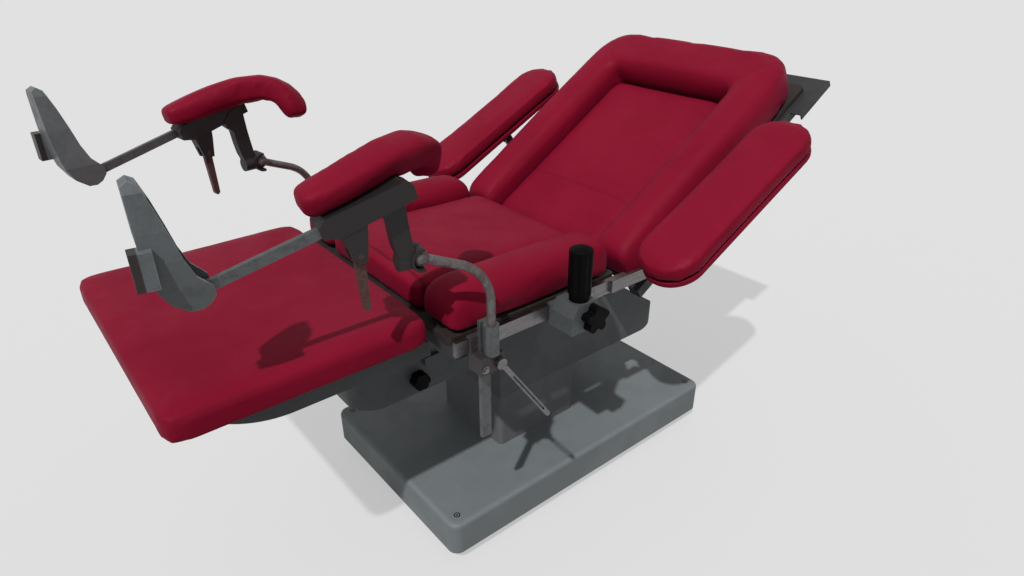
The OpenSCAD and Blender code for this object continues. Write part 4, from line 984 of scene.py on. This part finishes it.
class TABLE_OT_base(bpy.types.Operator):
    """Base cover and its screws, column, casing and the lift inside them"""

    bl_idname = "table.base"
    bl_label = "Base and Lift"

    def execute(self, context):
        dress(["base_cover"], "cover paint")
        dress(["casing"], "casing paint")
        dress(["column_cover"], "column paint")
        dress(["base_frame", "carrier"], "frame paint")
        dress(["base_post", "mast"], "steel")
        dress(["lift_cylinder"], "chrome")
        low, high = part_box("base_cover")
        x = high.x - BASE_SCREW_INSET
        foot, head = low.y + BASE_SCREW_INSET, high.y - BASE_SCREW_INSET
        for number, (screw_x, screw_y) in enumerate(((-x, foot), (x, foot), (-x, head), (x, head))):
            screw_head(f"base_screw_{number + 1}", Vector((screw_x, screw_y, high.z - SCREW_SINK)), "base")
        return {"FINISHED"}


class TABLE_OT_castors(bpy.types.Operator):
    """Castor forks and wheels"""

    bl_idname = "table.castors"
    bl_label = "Castors"

    def execute(self, context):
        dress(["castor_fork_foot", "castor_fork_head"], "steel")
        dress(["castor_wheel_foot", "castor_wheel_head"], "tyre")
        return {"FINISHED"}


class TABLE_OT_seat(bpy.types.Operator):
    """Seat cushions, board, frame, side rails and hinge nuts"""

    bl_idname = "table.seat"
    bl_label = "Seat"

    def execute(self, context):
        dress(["seat_frame"], "frame paint")
        dress(["seat_board"], "board")
        dress(["side_rail"], "steel")
        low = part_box("seat_pad")[0]
        behind_roll = seam_at("y", low.y + SEAT_ROLL)

        def front_seam(point):
            """Distance from the seam behind the front roll, which stops short of the board."""
            return behind_roll(point) if point.z > low.z + SEAT_SEAM_FOOT else NO_SEAM

        cushion("seat_pad", "lift", [(front_seam, 0.8)], rest_on=low.z)
        right = cushion("seat_bolster_right", "lift", rest_on=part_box("seat_bolster_right")[0].z, soften=3)
        mirrored(right, "seat_bolster_left", "lift")
        hinge = Vector(JOINTS["back_tilt"]["pos_m"])
        for side, sign in SIDES:
            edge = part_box(f"side_rail_{side}")
            outer = edge[1].x if sign > 0 else -edge[0].x
            place = (sign * (outer - HINGE_NUT_SINK), hinge.y, hinge.z)
            hex_bolt(f"hinge_nut_{side}", place, (sign, 0, 0), HINGE_NUT_ACROSS, HINGE_NUT_HEIGHT, "lift")
        return {"FINISHED"}


class TABLE_OT_back(bpy.types.Operator):
    """Back cushions, board, frame and the strut under it"""

    bl_idname = "table.back"
    bl_label = "Back"

    def execute(self, context):
        dress(["back_frame"], "frame paint")
        dress(["back_board"], "board")
        dress(["strut_cylinder"], "frame paint")
        dress(["strut_rod"], "chrome")
        seam = (seam_at("y", BACK_SEAM), 0.22)
        cushion("back_pad", "back", [seam], back_lay(), BACK_CUSHION_BASE, voxel_scale=COARSE)

        def mitre(point):
            """Distance from the seam that runs from an inner corner to the outer corner."""
            x, y = abs(point.x) - BACK_CORNER_X, point.y - BACK_CORNER_Y
            if x < 0 or y < 0:
                return NO_SEAM
            return abs(x * BACK_MITRE[1] - y * BACK_MITRE[0])

        cushion(
            "back_bolster", "back", [(mitre, 0.12)], back_lay(), BACK_CUSHION_BASE,
            voxel_scale=COARSE, soften=4,
        )
        return {"FINISHED"}


class TABLE_OT_armrests(bpy.types.Operator):
    """Armrest cushions, brackets and the covers round their boards"""

    bl_idname = "table.armrests"
    bl_label = "Armrests"

    def execute(self, context):
        dress(["armrest_bracket"], "dark casting")
        right = cushion(
            "armrest_pad_right", "armrest_right", [(seam_at("z", ARMREST_BAND), 0.3)], armrest_lay(1),
            ARMREST_CUSHION_BASE, soften=3,
        )
        mirrored(right, "armrest_pad_left", "armrest_left")
        for side, sign in SIDES:
            wrapped_edge(
                f"armrest_wrap_{side}", f"armrest_bracket_{side}", f"armrest_{side}",
                armrest_lay(sign), ARMREST_BOARD_LOW, ARMREST_BOARD_HIGH,
            )
        return {"FINISHED"}


class TABLE_OT_leg_section(bpy.types.Operator):
    """Leg cushion, tray and lock knob"""

    bl_idname = "table.leg_section"
    bl_label = "Leg Section"

    def execute(self, context):
        dress(["leg_tray"], "tray paint")
        dress(["leg_lock_knob"], "black plastic")
        low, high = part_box("leg_pad")
        band = (seam_at("z", high.z - LEG_BAND), 0.2)
        cushion("leg_pad", "leg", [band], rest_on=low.z, voxel_scale=COARSE, soften=1)
        return {"FINISHED"}


class TABLE_OT_leg_supports(bpy.types.Operator):
    """Knee pads, brackets, bent rods, bars, clamps and foot plates on both sides"""

    bl_idname = "table.leg_supports"
    bl_label = "Leg Supports"

    def execute(self, context):
        dress(["rail_clamp"], "stained casting")
        dress(["height_bar"], "bar steel")
        dress(["clamp_lever"], "steel")
        dress(["support_rod"], "stained steel")
        dress(["crutch_bracket"], "dark casting")
        dress(["pad_lever"], "lever steel")
        dress(["foot_bar"], "bar steel")
        dress(["foot_plate"], "foot plate")
        right = cushion(
            "crutch_pad_right", "crutch_right", voxel_scale=FINE, soften=3,
            swell=KNEE_SWELL, inset=0.3, crown=KNEE_CROWN,
        )
        mirrored(right, "crutch_pad_left", "crutch_left")
        for side, sign in SIDES:
            clamp = f"rail_clamp_{side}"
            low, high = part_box(clamp)
            face = high.x if sign > 0 else low.x
            for number, y in enumerate((low.y + CLAMP_BOLT_INSET, high.y - CLAMP_BOLT_INSET)):
                place = (face, y, low.z + CLAMP_BOLT_LEVEL)
                hex_bolt(
                    f"clamp_bolt_{side}_{number + 1}", place, (sign, 0, 0), CLAMP_BOLT_ACROSS,
                    CLAMP_BOLT_HEIGHT, clamp,
                )
        return {"FINISHED"}


class TABLE_OT_hand_grips(bpy.types.Operator):
    """Hand grips, their clamps and lobed knobs"""

    bl_idname = "table.hand_grips"
    bl_label = "Hand Grips"

    def execute(self, context):
        dress(["grip_clamp"], "casting")
        dress(["hand_grip", "grip_knob"], "black plastic")
        return {"FINISHED"}


class TABLE_PT_panel(bpy.types.Panel):
    """Shows the settings and the steps that dress the table"""

    bl_label = "Examination Table"
    bl_idname = "TABLE_PT_panel"
    bl_space_type = "VIEW_3D"
    bl_region_type = "UI"
    bl_category = "Table"

    def draw(self, context):
        for settings, _ in SETTINGS:
            group = getattr(context.scene, settings)
            box = self.layout.box()
            for name in group.bl_rna.properties.keys():
                if name not in {"rna_type", "name"}:
                    box.prop(group, name)
        for step in STEPS:
            self.layout.operator(step.bl_idname)


SETTINGS = (
    ("table_upholstery", UpholsterySettings),
    ("table_paint", PaintSettings),
    ("table_stage", StageSettings),
)
STEPS = (
    TABLE_OT_stage,
    TABLE_OT_base,
    TABLE_OT_castors,
    TABLE_OT_seat,
    TABLE_OT_back,
    TABLE_OT_armrests,
    TABLE_OT_leg_section,
    TABLE_OT_leg_supports,
    TABLE_OT_hand_grips,
)


def register():
    for name, kind in SETTINGS:
        bpy.utils.register_class(kind)
        setattr(bpy.types.Scene, name, PointerProperty(type=kind))
    for kind in (*STEPS, TABLE_PT_panel):
        bpy.utils.register_class(kind)


def unregister():
    for kind in reversed((*STEPS, TABLE_PT_panel)):
        bpy.utils.unregister_class(kind)
    for name, kind in reversed(SETTINGS):
        delattr(bpy.types.Scene, name)
        bpy.utils.unregister_class(kind)


def main():
    register()
    for step in STEPS:
        group, name = step.bl_idname.split(".")
        getattr(getattr(bpy.ops, group), name)()


if __name__ == "__main__":
    main()
